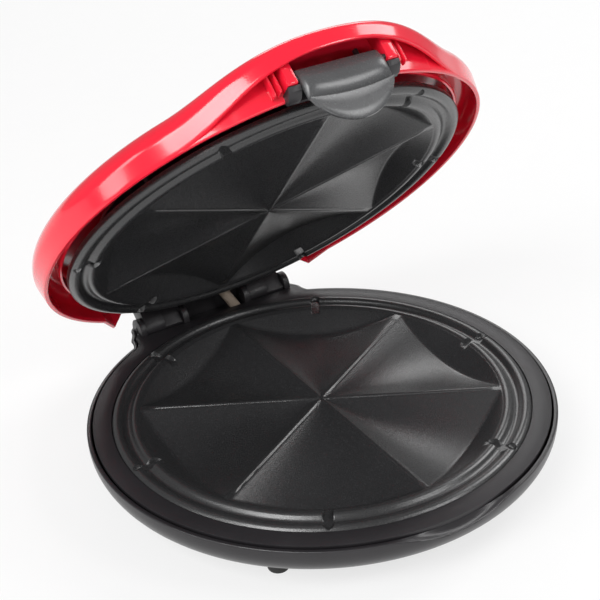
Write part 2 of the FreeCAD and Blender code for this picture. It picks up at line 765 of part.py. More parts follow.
def lid_dome(name, inset, low):
    return revolved(name, dome_profile(inset) + [
        ("skirt_radius - %s" % inset, low), ("0", low)])


def handle_plan(inset):
    """Plan of the lid's front: the round belt, a hollow blend each side and the wider arc of the handle."""
    belt = "(belt_radius - %s)" % inset
    arc = "(handle_arc - %s)" % inset
    blend = "(handle_blend + %s)" % inset
    centre = "(handle_reach - handle_arc)"
    far = "(%s + %s)" % (belt, blend)
    near = "(%s + %s)" % (arc, blend)
    blend_y = "((%s ^ 2 - %s ^ 2 + %s ^ 2) / (2 * %s))" % (far, near, centre, centre)
    blend_x = "sqrt(%s ^ 2 - %s ^ 2)" % (far, blend_y)
    belt_x = "%s * %s / %s" % (blend_x, belt, far)
    belt_y = "-%s * %s / %s" % (blend_y, belt, far)
    arc_x = "%s * %s / %s" % (blend_x, arc, near)
    arc_y = "-%s - (%s - %s) * %s / %s" % (centre, blend_y, centre, arc, near)
    side_y = "-sqrt(%s ^ 2 - handle_half ^ 2)" % belt
    return [
        ("-handle_half", "-60"),
        ("-handle_half", side_y),
        ("-" + belt_x, belt_y, belt, 1),
        ("-" + arc_x, arc_y, blend, -1),
        (arc_x, arc_y, arc, 1),
        (belt_x, belt_y, blend, -1),
        ("handle_half", side_y, belt, 1),
        ("handle_half", "-60")]


def s_curve(low, high, share, way):
    """The far half of an arch between the handle's middle and its end, as two arcs that meet smoothly."""
    rise = "((%s) - (%s))" % (high, low)
    total = "((handle_half ^ 2 + %s ^ 2) / (2 * %s))" % (rise, rise)
    inner = "(%s * %s)" % (total, share)
    outer = "(%s * (1 - %s))" % (total, share)
    mid_x = "(handle_half * %s)" % share
    mid_z = "((%s) - %s * %s)" % (high, rise, share)
    if way > 0:
        return [("-handle_half", low), ("-" + mid_x, mid_z, outer, 1), (mid_x, mid_z, inner, -1),
                ("handle_half", low, outer, 1)]
    return [("handle_half", low), (mid_x, mid_z, outer, -1), ("-" + mid_x, mid_z, inner, 1),
            ("-handle_half", low, outer, -1)]


def handle_block(name, inset, floor):
    """The handle bulge: its plan pulled up, kept between the floor line and the upper arch."""
    prism = padded(name + "_prism", "XY_Plane", handle_plan(inset), "60", "30")
    roof = s_curve("belt_height + 5 - %s" % inset, "handle_top - %s" % inset, "0.6", -1)
    band = padded(name + "_band", "XZ_Plane", floor + roof, "100", "55")
    return common(name, prism, band)


def rear_corner(name, sign, inset, top):
    """One of the lid's two squared corners beside the hinge: its plan pulled up from the skirt's edge."""
    plan = [
        ("flare_x - 0.86 * (%s)" % inset, "flare_y - 0.5 * (%s)" % inset),
        ("corner_x - 0.63 * (%s)" % inset, "corner_y - 0.9 * (%s)" % inset),
        ("corner_end", "corner_back - (%s)" % inset),
        ("corner_end", "100"),
        ("corner_x", "92")]
    plan = [("%s(%s)" % (sign, x), y) for x, y in plan]
    low = "skirt_low - %s" % inset
    return padded(name, "XY_Plane", plan, "(%s) - (%s)" % (top, low), low)


# Cheeks beside the latch, then the thin ribs outside them: from and to, and the height of the lower end
CHEEKS = [("cheek_inner", "cheek_inner + cheek_thick", "cheek_low"),
          ("cheek_inner + 7.8", "cheek_inner + 9.2", "cheek_low + 2"),
          ("cheek_inner + 11.8", "cheek_inner + 13.2", "cheek_low + 3")]
SIDES = (("left", "-"), ("right", ""))
OPEN_FLOOR = [("-handle_half", "skirt_low - 10"), ("handle_half", "skirt_low - 10")]
LID_SCREWS = (0, 45, 135, 180, 225, 315)
CARRIER_SCREWS = (63, 84, 96, 117)


def lid_shell():
    arch = s_curve("skirt_low", "handle_low", "0.71", 1)
    outer = [lid_dome("dome_outer", "0", "skirt_low"), handle_block("handle", "0", arch)]
    inner = [lid_dome("dome_inner", "lid_wall", "skirt_low - 1"),
             handle_block("handle_room", "lid_wall", OPEN_FLOOR)]
    for side, sign in SIDES:
        outer.append(rear_corner("corner_" + side, sign, "0", "corner_top"))
        inner.append(rear_corner("corner_room_" + side, sign, "lid_wall", "corner_top - lid_wall"))
    outer = fused("lid_outer", outer)
    inner = fused("lid_inner", inner)
    skin = cut("lid_skin", outer, [inner])
    within = lid_dome("lid_limit", "1", "skirt_low")
    skirt = tube("skirt_behind", "skirt_radius - lid_wall", "skirt_radius", "skirt_low", "belt_height + 8")
    front = box("skirt_front", ("-handle_half", "handle_half"), ("-130", "-80"), ("30", "70"))
    ribs = [common("skirt_run", skirt, front)]
    for angle in LID_SCREWS:
        ribs.append(polar("lid_post_%d" % angle, "3.5", "117.5", angle, "52", "lid_top - 9"))
    for angle in CARRIER_SCREWS:
        ribs.append(polar("carrier_post_%d" % angle, "3.5", "118", angle, "54", "lid_top - 9"))
    for x in (-18, 18):
        ribs.append(cylinder("mount_post_%d" % x, "3.2", str(x), "-mount_row", "50", "lid_top - 9"))
    room = handle_block("cheek_limit", "1", OPEN_FLOOR)
    cheeks = []
    for side, sign in SIDES:
        for number, (near, far, foot) in enumerate(CHEEKS):
            span = (near, far) if sign == "" else ("-(%s)" % far, "-(%s)" % near)
            cheeks.append(box("cheek_%s_%d" % (side, number), span, ("-cheek_front", "-skirt_radius + 4"),
                              (foot, "handle_top")))
    inside = common("ribs_in", fused("ribs_all", ribs), within)
    sides = common("cheeks_in", fused("cheeks_all", cheeks), room)
    whole = fused("lid_whole", [skin, inside, sides])
    # the gap for the hinge, whose sides lean in from the corners' tips
    gap_lean = "((corner_x - gap_top_half) / (belt_height + 3 - skirt_low))"
    gap_low = "(corner_x + %s)" % gap_lean
    holes = [padded("rear_gap", "XZ_Plane", [
                ("-" + gap_low, "skirt_low - 1"),
                ("-gap_top_half", "belt_height + 3"),
                ("gap_top_half", "belt_height + 3"),
                (gap_low, "skirt_low - 1")], "80", "-140"),
             box("latch_gap", ("-cheek_inner", "cheek_inner"), ("-128", "-118.9"), ("30", "50.2")),
             box("lug_gap", ("-mount_lug - 0.6", "mount_lug + 0.6"), ("-128", "-118.9"),
                 ("30", "cheek_low - 0.2")),
             rod_x("cheek_bore", "latch_pin", "pivot_y", "pivot_height", "-30", "30")]
    for angle in LID_SCREWS:
        holes.append(polar("lid_bore_%d" % angle, "1.4", "117.5", angle, "50", "56.6"))
    for angle in CARRIER_SCREWS:
        holes.append(polar("carrier_bore_%d" % angle, "1.4", "118", angle, "50", "56.6"))
    for x in (-18, 18):
        holes.append(cylinder("mount_bore_%d" % x, "1.4", str(x), "-mount_row", "48", "56.6"))
    for x in (-14, 14):
        holes.append(cylinder("lens_hole_%d" % x, "3.55", str(x), "-96", "55", "75"))
    finish(cut("lid_shell", whole, holes), "lid_shell", opened)


def lid_frame():
    """The ring wall round the upper plate, with tabs for the plate and lugs for the lid."""
    ring = tube("lid_ring", "ring_inner", "ring_inner + ring_thick", "ring_low", "52")
    lugs = []
    holes = [box("lead_notch", ("2", "11"), ("105", "120"), ("40", "50"))]
    screws = []
    for angle in LID_SCREWS:
        lugs.append(swung_box("ring_lug_%d" % angle, angle, ("ring_inner + 1", "121"), ("-4", "4"),
                              ("50", "52")))
        holes.append(polar("ring_bore_%d" % angle, "1.6", "117.5", angle, "49", "53"))
        screws.append(screw("lid_screw_%d" % angle, "117.5", angle, "50", "56.5", shank=1.38))
    for angle in THIRDS:
        lugs.append(swung_box("ring_tab_%d" % angle, angle, ("98", "ring_inner + 1"), ("-5", "5"),
                              ("44", "46.2")))
        lugs.append(swung_box("ring_tab_web_%d" % angle, angle, ("ring_inner - 3", "ring_inner + 1"),
                              ("-5", "5"), ("44", "48")))
        holes.append(polar("ring_tab_bore_%d" % angle, "1.6", "102.5", angle, "43", "48"))
    finish(cut("lid_frame", fused("lid_frame_whole", [ring] + lugs), holes), "lid_frame", opened)
    finish(group("lid_screws", screws), "lid_frame_screws", opened)


def hinge_parts():
    """The carrier on the lid with its two arms, the hinge pins and the screws."""
    band = fused("carrier_band", [
        tube("band_low", "114.2", "121.6", "carrier_low", "50.6"),
        tube("band_high", "114.2", "120.5", "50.6", "54")])
    span = box("band_span", ("-carrier_half", "carrier_half"), ("90", "130"), ("30", "60"))
    behind = box("band_middle", ("-gap_top_half + 2", "gap_top_half - 2"), ("90", "130"), ("30", "60"))
    pieces = [common("band_cut", band, span),
              common("band_back", tube("band_outer", "120", "123.6", "carrier_low", "50.5"), behind)]
    knuckles = []
    for side, sign in (("left", -1), ("right", 1)):
        near, far = ("arm_inner", "arm_outer") if sign > 0 else ("-arm_outer", "-arm_inner")
        half = "(arm_inner + arm_outer) / 2" if sign > 0 else "-(arm_inner + arm_outer) / 2"
        # the thick half of each arm is on its left, the flat half on its right
        knuckles.append(rod_x("knuckle_" + side, "knuckle_radius", "hinge_y", "hinge_height", near, far))
        knuckles.append(box("block_" + side, (near, half),
                            ("hinge_y - knuckle_radius", "hinge_y + knuckle_radius"),
                            ("hinge_height", "carrier_low + 4")))
        knuckles.append(box("slab_" + side, (half, far), ("hinge_y - 2", "hinge_y + knuckle_radius"),
                            ("hinge_height", "carrier_low + 4")))
        knuckles.append(box("shelf_" + side, (near, far), ("110", "hinge_y + knuckle_radius"),
                            ("carrier_low + 2", "50.4")))
    keep = cylinder("plate_room", "114.2", "0", "0", "20", "70")
    holes = [keep, box("sleeve_room", ("-22", "22"), ("121", "130"), ("30", "60")),
             box("band_lift", ("-22", "22"), ("100", "130"), ("30", "45.6")),
             box("sleeve_notch", ("2", "11"), ("100", "117.5"), ("30", "47.6")),
             rod_x("knuckle_bore", "pin_radius + running_gap", "hinge_y", "hinge_height", "-60", "60")]
    screws = []
    for angle in CARRIER_SCREWS:
        holes.append(polar("carrier_hole_%d" % angle, "1.6", "118", angle, "40", "60"))
        holes.append(polar("carrier_head_%d" % angle, "3", "118", angle, "40", "50"))
        screws.append(screw("carrier_screw_%d" % angle, "118", angle, "50", "56.5", shank=1.38))
    finish(cut("carrier", fused("carrier_whole", pieces + knuckles), holes), "lid_hinge_carrier", opened)
    finish(group("carrier_screws", screws), "carrier_screws", opened)
    pins = []
    near = "arm_inner - side_gap - ear_thick"
    far = "arm_outer + side_gap + ear_thick"
    for side, start, end in (("left", "-(%s)" % far, "-(%s)" % near), ("right", near, far)):
        pins.append(rod_x("pin_" + side, "pin_radius", "hinge_y", "hinge_height", start, end))
    finish(group("pins", pins), "hinge_pins")


def lead_sleeve():
    """The sleeve of the lid's supply lead: out of the deck, across and up into the lid."""
    body = new_body("sleeve")
    run = 9.2
    bend = 9.0
    low, rise = 37.0, 12.0
    lean = math.atan2(run, rise)
    # two equal bends joined by a straight lean, all in one upright plane
    step = bend * math.tan(lean / 2)
    across = step * math.sin(lean)
    up = step * math.cos(lean)
    path = outline(new_sketch(body, "sleeve_path", "XZ_Plane"), [
        ("0", "25"),
        ("0", "%g" % (low - step)),
        ("%g" % -across, "%g" % (low + up), "%g" % bend, 1),
        ("%g" % (across - run), "%g" % (low + rise - up)),
        ("%g" % -run, "%g" % (low + rise + step), "%g" % bend, -1),
        ("%g" % -run, "56")], closed=False)
    section = ring_sketch(body, "sleeve_section", "XY_Plane", "25", "0", "0", "2.6")
    pipe = body.newObject("PartDesign::AdditivePipe", "sleeve_pipe")
    pipe.Profile = section
    pipe.Spine = path
    body.Tip = pipe
    finish(body, "lead_sleeve", FreeCAD.Placement(vector(14.5, 119.6, 0), FreeCAD.Rotation(UP, -23)))


def latch_parts():
    """The latch under the handle on its pin, and the black mount behind it."""
    back = "pivot_y + 4.6"
    profile = padded("latch_profile", "YZ_Plane", [
        ("pivot_y", "pivot_height + 4.6", "4.6", 1),
        ("-latch_face - 1.2", "latch_ridge + 1.4", "16", 1),
        ("-latch_face", "latch_ridge"),
        ("-latch_face", "latch_low"),
        ("pivot_y", "latch_low"),
        ("pivot_y", "pivot_height - 4.6"),
        (back, "pivot_height", "4.6", 1)], "2 * latch_half", "-latch_half")
    tongue = "(latch_ridge - latch_low)"
    curve = "((latch_half ^ 2 + %s ^ 2) / (2 * %s))" % (tongue, tongue)
    front = padded("latch_front", "XZ_Plane", [
        ("-latch_half", "pivot_height + 6"),
        ("-latch_half", "latch_ridge"),
        ("0", "latch_low", curve, 1),
        ("latch_half", "latch_ridge", curve, 1),
        ("latch_half", "pivot_height + 6")], "40", "110")
    plate = common("latch_plate", profile, front)
    hook = box("latch_hook", ("-8", "8"), ("-latch_face + 1", "-121.9"), ("28.6", "30.5"))
    bore = rod_x("latch_bore", "latch_pin + running_gap", "pivot_y", "pivot_height", "-30", "30")
    finish(cut("latch", fused("latch_whole", [plate, hook]), [bore]), "latch", opened)
    # its two lugs close the cheeks from below, with slanted undersides
    ears = [padded("mount_lug_" + side, "YZ_Plane", [
        ("-119.5", "cheek_low - 0.3"),
        ("-cheek_front + 0.8", "cheek_low - 0.3"),
        ("-cheek_front + 1.6", "mount_low + 2.2"),
        ("-123.5", "mount_low"),
        ("-119.5", "mount_low")],
        "mount_lug - latch_half - 0.7", start)
        for side, start in (("left", "-mount_lug"), ("right", "latch_half + 0.7"))]
    plate = box("mount_back", ("-mount_half", "mount_half"), ("-121.5", "-119.5"), ("mount_low", "50"))
    shelf = box("mount_shelf", ("-mount_half", "mount_half"), ("-121.5", "-114.2"), ("48", "50"))
    holes = []
    screws = []
    for x in (-18, 18):
        holes.append(cylinder("mount_hole_%d" % x, "1.6", str(x), "-mount_row", "47", "51"))
        shaft = cylinder("mount_shank_%d" % x, "1.38", str(x), "-mount_row", "48", "56.4")
        cap = cylinder("mount_cap_%d" % x, "2.8", str(x), "-mount_row", "46.4", "48")
        screws.append(fused("mount_screw_%d" % x, [shaft, cap]))
    keep = cylinder("mount_clear", "114.2", "0", "0", "20", "70")
    finish(cut("mount", fused("mount_whole", ears + [plate, shelf]), holes + [keep]), "latch_mount", opened)
    finish(group("mount_screws", screws), "latch_mount_screws", opened)
    reach = "cheek_inner + cheek_thick - 0.4"
    pin = rod_x("latch_rod", "latch_pin", "pivot_y", "pivot_height", "-(%s)" % reach, reach)
    finish(group("latch_pin", [pin]), "latch_pin", opened)


def lights():
    """Two lenses in the lid over the handle, each with a small lamp behind it."""
    lenses = []
    lamps = []
    for x in (-14, 14):
        cap = revolved("lens_%d" % x, [("2.2", "-8"), ("3.5", "-8"), ("3.5", "0.2"), ("2.9", "0.8"),
                                       ("0", "0.8"), ("0", "-1.6"), ("2.2", "-1.6")])
        cap.Placement.Base = vector(x, -96, 62)
        lenses.append(cap)
        lamp = cylinder("lamp_%d" % x, "2.2", str(x), "-96", "53", "60.4")
        lamps.append(lamp)
    finish(group("lenses", lenses), "indicator_lenses", opened)
    finish(group("lamps", lamps), "neon_lamps", opened)


def base_fittings():
    screws = [screw("base_screw_%d" % angle, "post_circle", angle, "16", "26.4", shank=1.38)
              for angle in POSTS]
    finish(group("base_screws", screws), "base_screws")
    pads = [polar("foot_%d" % angle, "foot_radius", "foot_circle", angle, "0", "9") for angle in FEET]
    trimmed = cut("feet", fused("feet_all", pads), [bowl("feet_limit", "0", "rim_height")])
    finish(trimmed, "rubber_feet")


lid_shell()
lid_frame()
hinge_parts()
lead_sleeve()
latch_parts()
lights()
base_fittings()


def save():
    """Check every object of the document, then write each sub-part to its own file."""
    doc.recompute()
    faults = [thing.Name for thing in doc.Objects if "Invalid" in thing.State or "Error" in thing.State]
    faults += [part.Label for part in parts
               if part.Shape.isNull() or not part.Shape.isValid() or not part.Shape.Solids]
    if faults:
        raise RuntimeError("not sound: " + ", ".join(faults))
    os.makedirs("parts", exist_ok=True)
    for part in parts:
        part.Shape.exportStep("parts/%s.step" % part.Label)
        print("%-24s %2d solids %10.1f mm3" % (part.Label, len(part.Shape.Solids), part.Shape.Volume))


save()
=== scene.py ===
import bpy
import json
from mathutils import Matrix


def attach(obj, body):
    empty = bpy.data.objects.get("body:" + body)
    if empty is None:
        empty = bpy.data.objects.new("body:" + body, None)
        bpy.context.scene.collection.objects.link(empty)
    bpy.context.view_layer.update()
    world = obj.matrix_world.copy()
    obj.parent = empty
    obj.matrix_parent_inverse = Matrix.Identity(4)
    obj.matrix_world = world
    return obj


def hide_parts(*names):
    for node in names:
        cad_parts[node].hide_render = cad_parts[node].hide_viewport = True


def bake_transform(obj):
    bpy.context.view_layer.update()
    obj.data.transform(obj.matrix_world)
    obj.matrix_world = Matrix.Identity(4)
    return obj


bl_info = {
    "name": "Quesadilla Maker",
    "version": (1, 0, 0),
    "blender": (4, 5, 0),
    "location": "3D View > Sidebar > Quesadilla Maker",
    "description": "Builds a countertop quesadilla maker with an open red lid round its packed frame",
    "category": "Add Mesh",
}

import json
import math

import bmesh
import bpy
from mathutils import Matrix, Vector

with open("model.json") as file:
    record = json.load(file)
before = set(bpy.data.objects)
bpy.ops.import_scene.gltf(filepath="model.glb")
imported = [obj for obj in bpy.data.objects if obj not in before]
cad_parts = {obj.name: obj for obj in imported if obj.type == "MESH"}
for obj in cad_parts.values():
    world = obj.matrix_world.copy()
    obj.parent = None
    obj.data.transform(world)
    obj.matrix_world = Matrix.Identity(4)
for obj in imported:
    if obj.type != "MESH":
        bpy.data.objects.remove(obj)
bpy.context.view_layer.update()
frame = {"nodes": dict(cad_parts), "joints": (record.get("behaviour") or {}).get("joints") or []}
joints = {joint["name"]: joint for joint in frame["joints"]}
hinge_point = Vector(joints["lid_hinge"]["pos_m"])
open_angle = -joints["lid_hinge"]["range_deg"][0]

# Shapes are worked out in millimetres and made in metres
MM = 0.001


# Settings that a user would change

class MakerSizes(bpy.types.PropertyGroup):
    rim_radius: bpy.props.FloatProperty(
        name="Rim radius", description="Outside radius of the base at its rim", default=0.125, unit="LENGTH")
    lid_top: bpy.props.FloatProperty(
        name="Lid top", description="Height of the closed lid above the counter", default=0.069, unit="LENGTH")
    handle_reach: bpy.props.FloatProperty(
        name="Handle reach", description="From the middle to the handle's front", default=0.1365, unit="LENGTH")
    handle_spread: bpy.props.FloatProperty(
        name="Handle spread", description="Angle from the handle's middle to its end",
        default=math.radians(39), subtype="ANGLE")
    pocket_dip: bpy.props.FloatProperty(
        name="Pocket dip", description="Fall of a pocket's lowest line towards the rim",
        default=math.radians(7.2), subtype="ANGLE")
    screw_head: bpy.props.FloatProperty(
        name="Screw head", description="Radius of the pan-head screws", default=0.0028, unit="LENGTH")


class MakerColours(bpy.types.PropertyGroup):
    lid: bpy.props.FloatVectorProperty(
        name="Lid", description="Glossy red of the lid and its frame", default=(0.80, 0.012, 0.035),
        subtype="COLOR", size=3)
    base: bpy.props.FloatVectorProperty(
        name="Base", description="Black of the base and hinges", default=(0.017, 0.0155, 0.0175),
        subtype="COLOR", size=3)
    coating: bpy.props.FloatVectorProperty(
        name="Coating", description="Non-stick coating of both plates", default=(0.02, 0.02, 0.021),
        subtype="COLOR", size=3)
    latch: bpy.props.FloatVectorProperty(
        name="Latch", description="Grey of the latch", default=(0.07, 0.071, 0.073),
        subtype="COLOR", size=3)
    sleeve: bpy.props.FloatVectorProperty(
        name="Sleeve", description="Woven sleeve of the lid's lead", default=(0.34, 0.27, 0.21),
        subtype="COLOR", size=3)


# Shader maths as plain expressions

class Wire:
    """A node's output that can be used in sums."""

    def __init__(self, nodes, socket):
        self.nodes = nodes
        self.socket = socket

    def math(self, operation, *others):
        return self.nodes.add("ShaderNodeMath", {"operation": operation}, {
            index: value for index, value in enumerate((self,) + others)})

    def __add__(self, other):
        return self.math("ADD", other)

    def __sub__(self, other):
        return self.math("SUBTRACT", other)

    def __rsub__(self, other):
        return self.math("MULTIPLY", -1.0).math("ADD", other)

    def __mul__(self, other):
        return self.math("MULTIPLY", other)

    def __pow__(self, other):
        return self.math("POWER", other)

    def above(self, low, high):
        """0 below low, 1 above high, and straight between them."""
        return self.nodes.add("ShaderNodeMapRange", {"clamp": True}, {
            "Value": self, "From Min": low, "From Max": high})

    __radd__ = __add__
    __rmul__ = __mul__


class Finish:
    """A material under construction."""

    def __init__(self, name):
        self.material = bpy.data.materials.new(name)
        self.material.use_nodes = True
        self.tree = self.material.node_tree
        self.shader = self.tree.nodes["Principled BSDF"]

    def add(self, kind, settings=None, values=None, output=0):
        node = self.tree.nodes.new(kind)
        for key, setting in (settings or {}).items():
            setattr(node, key, setting)
        for key, value in (values or {}).items():
            self.feed(node.inputs[key], value)
        return Wire(self, node.outputs[output])

    def feed(self, socket, value):
        if isinstance(value, Wire):
            self.tree.links.new(value.socket, socket)
        else:
            socket.default_value = value

    def set(self, **values):
        for key, value in values.items():
            self.feed(self.shader.inputs[key.replace("_", " ")], value)

    def place(self, scale=(1, 1, 1), turn=(0, 0, 0)):
        """Object coordinates in metres, stretched by the scale."""
        where = self.add("ShaderNodeTexCoord", output=3)
        return self.add("ShaderNodeMapping", {}, {"Vector": where, "Scale": scale, "Rotation": turn})

    def noise(self, where, scale, detail=2.0, roughness=0.5):
        return self.add("ShaderNodeTexNoise", {}, {
            "Vector": where, "Scale": scale, "Detail": detail, "Roughness": roughness})

    def cells(self, where, scale):
        """Random grey per small cell."""
        return self.add("ShaderNodeTexVoronoi", {"feature": "F1"}, {
            "Vector": where, "Scale": scale, "Randomness": 1.0}, output=1)

    def mix(self, factor, first, second):
        node = self.tree.nodes.new("ShaderNodeMix")
        node.data_type = "RGBA"
        self.feed(node.inputs[0], factor)
        self.feed(node.inputs[6], first)
        self.feed(node.inputs[7], second)
        return Wire(self, node.outputs[2])

    def bump(self, height, distance, strength=1.0):
        normal = self.add("ShaderNodeBump", {}, {
            "Height": height, "Distance": distance, "Strength": strength})
        self.feed(self.shader.inputs["Normal"], normal)


def colour(values, factor=1.0):
    return (values[0] * factor, values[1] * factor, values[2] * factor, 1.0)


# Finishes

def red_gloss(tone):
    """Injection-moulded red plastic: high gloss, a faint flow ripple and light dust in the gloss."""
    finish = Finish("red_gloss")
    where = finish.place()
    flow = finish.noise(where, 14.0, 3.0)
    fine = finish.noise(where, 900.0, 2.0)
    finish.set(Base_Color=finish.mix(flow.above(0.35, 0.7), colour(tone, 0.96), colour(tone, 1.05)),
               Roughness=flow * 0.05 + 0.13, Specular_IOR_Level=0.5, Coat_Weight=0.35, Coat_Roughness=0.06)
    finish.bump(flow * 0.6 + fine * 0.02, 0.0006, 0.25)
    return finish.material


def black_plastic(name, tone, gloss, grain):
    """Moulded black plastic with a fine spark texture."""
    finish = Finish(name)
    where = finish.place()
    cloud = finish.noise(where, 22.0, 3.0)
    spark = finish.noise(where, 1500.0, 2.0, 0.6)
    finish.set(Base_Color=finish.mix(cloud.above(0.35, 0.7), colour(tone, 0.85), colour(tone, 1.25)),
               Roughness=spark * 0.1 + cloud * 0.06 + (gloss - 0.08), Specular_IOR_Level=0.5)
    finish.bump(spark, 0.0001 * grain, 0.5)
    return finish.material


def coating(tone):
    """Non-stick coating: near black, sprayed, with fine bright flecks in it."""
    finish = Finish("coating")
    where = finish.place()
    cloud = finish.noise(where, 18.0, 3.0)
    spray = finish.noise(where, 2400.0, 2.0, 0.65)
    fleck = finish.cells(where, 3600.0)
    bright = finish.add("ShaderNodeSeparateColor", {}, {"Color": fleck}).above(0.93, 1.0)
    base = finish.mix(cloud.above(0.3, 0.75), colour(tone, 0.85), colour(tone, 1.2))
    finish.set(Base_Color=finish.mix(bright * 0.22, base, (0.2, 0.2, 0.21, 1.0)),
               Roughness=spray * 0.1 + 0.23 - bright * 0.05, Specular_IOR_Level=0.8)
    finish.bump(spray + bright * 0.1, 0.0001, 0.5)
    return finish.material


def latch_grey(tone):
    """Satin grey plastic with a fine moulded grain."""
    finish = Finish("latch_grey")
    where = finish.place()
    cloud = finish.noise(where, 30.0, 3.0)
    grain = finish.noise(where, 700.0, 2.0)
    finish.set(Base_Color=finish.mix(cloud.above(0.35, 0.7), colour(tone, 0.92), colour(tone, 1.08)),
               Roughness=grain * 0.04 + 0.25, Specular_IOR_Level=0.6)
    finish.bump(grain, 0.00002, 0.3)
    return finish.material


def woven_sleeve(tone):
    """Braided glass-fibre sleeve: two thread directions crossing."""
    finish = Finish("woven_sleeve")
    where = finish.add("ShaderNodeUVMap", {"uv_map": "along"})
    turned = []
    for angle in (math.radians(45), math.radians(-45)):
        spun = finish.add("ShaderNodeMapping", {}, {
            "Vector": where, "Rotation": (0, 0, angle), "Scale": (1, 1, 1)})
        turned.append(finish.add("ShaderNodeTexWave", {"wave_type": "BANDS", "bands_direction": "X"}, {
            "Vector": spun, "Scale": 5.0, "Distortion": 0.4, "Detail": 1.0}, output=1))
    thread = turned[0].math("MAXIMUM", turned[1])
    finish.set(Base_Color=finish.mix(thread, colour(tone, 0.45), colour(tone, 1.3)), Roughness=0.36, Specular_IOR_Level=0.7)
    finish.bump(thread, 0.0003, 0.7)
    return finish.material


def metal(name, tone, rough, scale=(1, 1, 1)):
    """Plain or drawn metal with a worn, slightly uneven gloss."""
    finish = Finish(name)
    where = finish.place(scale)
    cloud = finish.noise(where, 60.0, 4.0)
    finish.set(Base_Color=finish.mix(cloud.above(0.35, 0.7), colour(tone, 0.8), colour(tone, 1.05)),
               Metallic=1.0, Roughness=cloud * 0.2 + (rough - 0.1))
    finish.bump(cloud, 0.00005, 0.4)
    return finish.material


def rubber():
    finish = Finish("rubber")
    grain = finish.noise(finish.place(), 700.0, 3.0)
    finish.set(Base_Color=finish.mix(grain, (0.016, 0.016, 0.016, 1), (0.035, 0.034, 0.033, 1)),
               Roughness=grain * 0.15 + 0.62)
    finish.bump(grain, 0.0002, 0.5)
    return finish.material


def ceramic():
    finish = Finish("ceramic")
    grain = finish.noise(finish.place(), 300.0, 3.0)
    finish.set(Base_Color=finish.mix(grain, (0.66, 0.62, 0.54, 1), (0.8, 0.77, 0.7, 1)), Roughness=0.55)
    finish.bump(grain, 0.0001, 0.4)
    return finish.material


def tinted_lens():
    finish = Finish("tinted_lens")
    ripple = finish.noise(finish.place(), 400.0, 2.0)
    finish.set(Base_Color=finish.mix(ripple, (0.5, 0.03, 0.02, 1), (0.62, 0.06, 0.03, 1)),
               Roughness=ripple * 0.06 + 0.1, Coat_Weight=0.5)
    return finish.material


materials = {}


def make_materials(colours):
    materials.update({
        "red_gloss": red_gloss(colours.lid),
        "black_gloss": black_plastic("black_gloss", colours.base, 0.3, 1.0),
        "black_satin": black_plastic("black_satin", colours.base, 0.42, 2.0),
        "coating": coating(colours.coating),
        "latch_grey": latch_grey(colours.latch),
        "woven_sleeve": woven_sleeve(colours.sleeve),
        "zinc": metal("zinc", (0.6, 0.6, 0.62), 0.38),
        "sheet": metal("sheet", (0.72, 0.72, 0.73), 0.4, (1, 8, 1)),
        "heater": metal("heater", (0.2, 0.17, 0.15), 0.5),
        "rubber": rubber(),
        "ceramic": ceramic(),
        "tinted_lens": tinted_lens(),
    })


# Mesh helpers

def circle_point(radius, degrees, height):
    angle = math.radians(degrees)
    return Vector((radius * math.cos(angle), radius * math.sin(angle), height))


def bearings(step, marks):
    """Angles round the circle, at an even step but closer within reach of each mark (angle, reach, step)."""
    angles = []
    count = round(360 / step)
    for index in range(count):
        angle = 360 * index / count
        if all(abs((angle - mark + 180) % 360 - 180) > reach for mark, reach, _ in marks):
            angles.append(angle)
    for mark, reach, fine in marks:
        steps = round(2 * reach / fine)
        angles += [(mark - reach + 2 * reach * index / steps) % 360 for index in range(steps + 1)]
    return sorted(set(round(angle, 4) for angle in angles))


def make_object(name, points, faces, material, sharp=35.0, scale=MM):
    mesh = bpy.data.meshes.new(name)
    mesh.from_pydata([tuple(point) for point in points], [], faces)
    mesh.transform(Matrix.Scale(scale, 4))
    mesh.materials.append(materials[material])
    shape = bmesh.new()
    shape.from_mesh(mesh)
    bmesh.ops.remove_doubles(shape, verts=shape.verts, dist=0.000002)
    bmesh.ops.dissolve_degenerate(shape, edges=shape.edges, dist=0.000001)
    bmesh.ops.recalc_face_normals(shape, faces=shape.faces)
    shape.to_mesh(mesh)
    shape.free()
    mesh.shade_smooth()
    mesh.set_sharp_from_angle(angle=math.radians(sharp))
    piece = bpy.data.objects.new(name, mesh)
    bpy.context.scene.collection.objects.link(piece)
    return piece


def skin(rings, closed=True, looped=False):
    """Points and faces of a skin over rings of equal length. A ring of one point closes an end."""
    points = []
    starts = []
    for ring in rings:
        starts.append((len(points), len(ring)))
        points += ring
    faces = []
    pairs = list(zip(starts, starts[1:]))
    if looped:
        pairs.append((starts[-1], starts[0]))
    for (low, low_count), (high, high_count) in pairs:
        count = max(low_count, high_count)
        for index in range(count if closed else count - 1):
            after = (index + 1) % count
            if low_count == 1:
                faces.append((low, high + index, high + after))
            elif high_count == 1:
                faces.append((low + index, low + after, high))
            else:
                faces.append((low + index, low + after, high + after, high + index))
    return points, faces


def spun(name, profile, material, columns=180, sharp=35.0):
    """A closed profile of (radius, height) spun about the middle."""
    angles = [360 * index / columns for index in range(columns)]
    rings = []
    for radius, height in profile:
        if radius == 0:
            rings.append([Vector((0, 0, height))])
        else:
            rings.append([circle_point(radius, angle, height) for angle in angles])
    points, faces = skin(rings, looped=profile[0][0] != 0)
    return make_object(name, points, faces, material, sharp)


def arc(centre, radius, start, end, steps):
    """Points on an arc in a plane, angles in degrees."""
    return [(centre[0] + radius * math.cos(math.radians(start + (end - start) * index / steps)),
             centre[1] + radius * math.sin(math.radians(start + (end - start) * index / steps)))
            for index in range(steps + 1)]


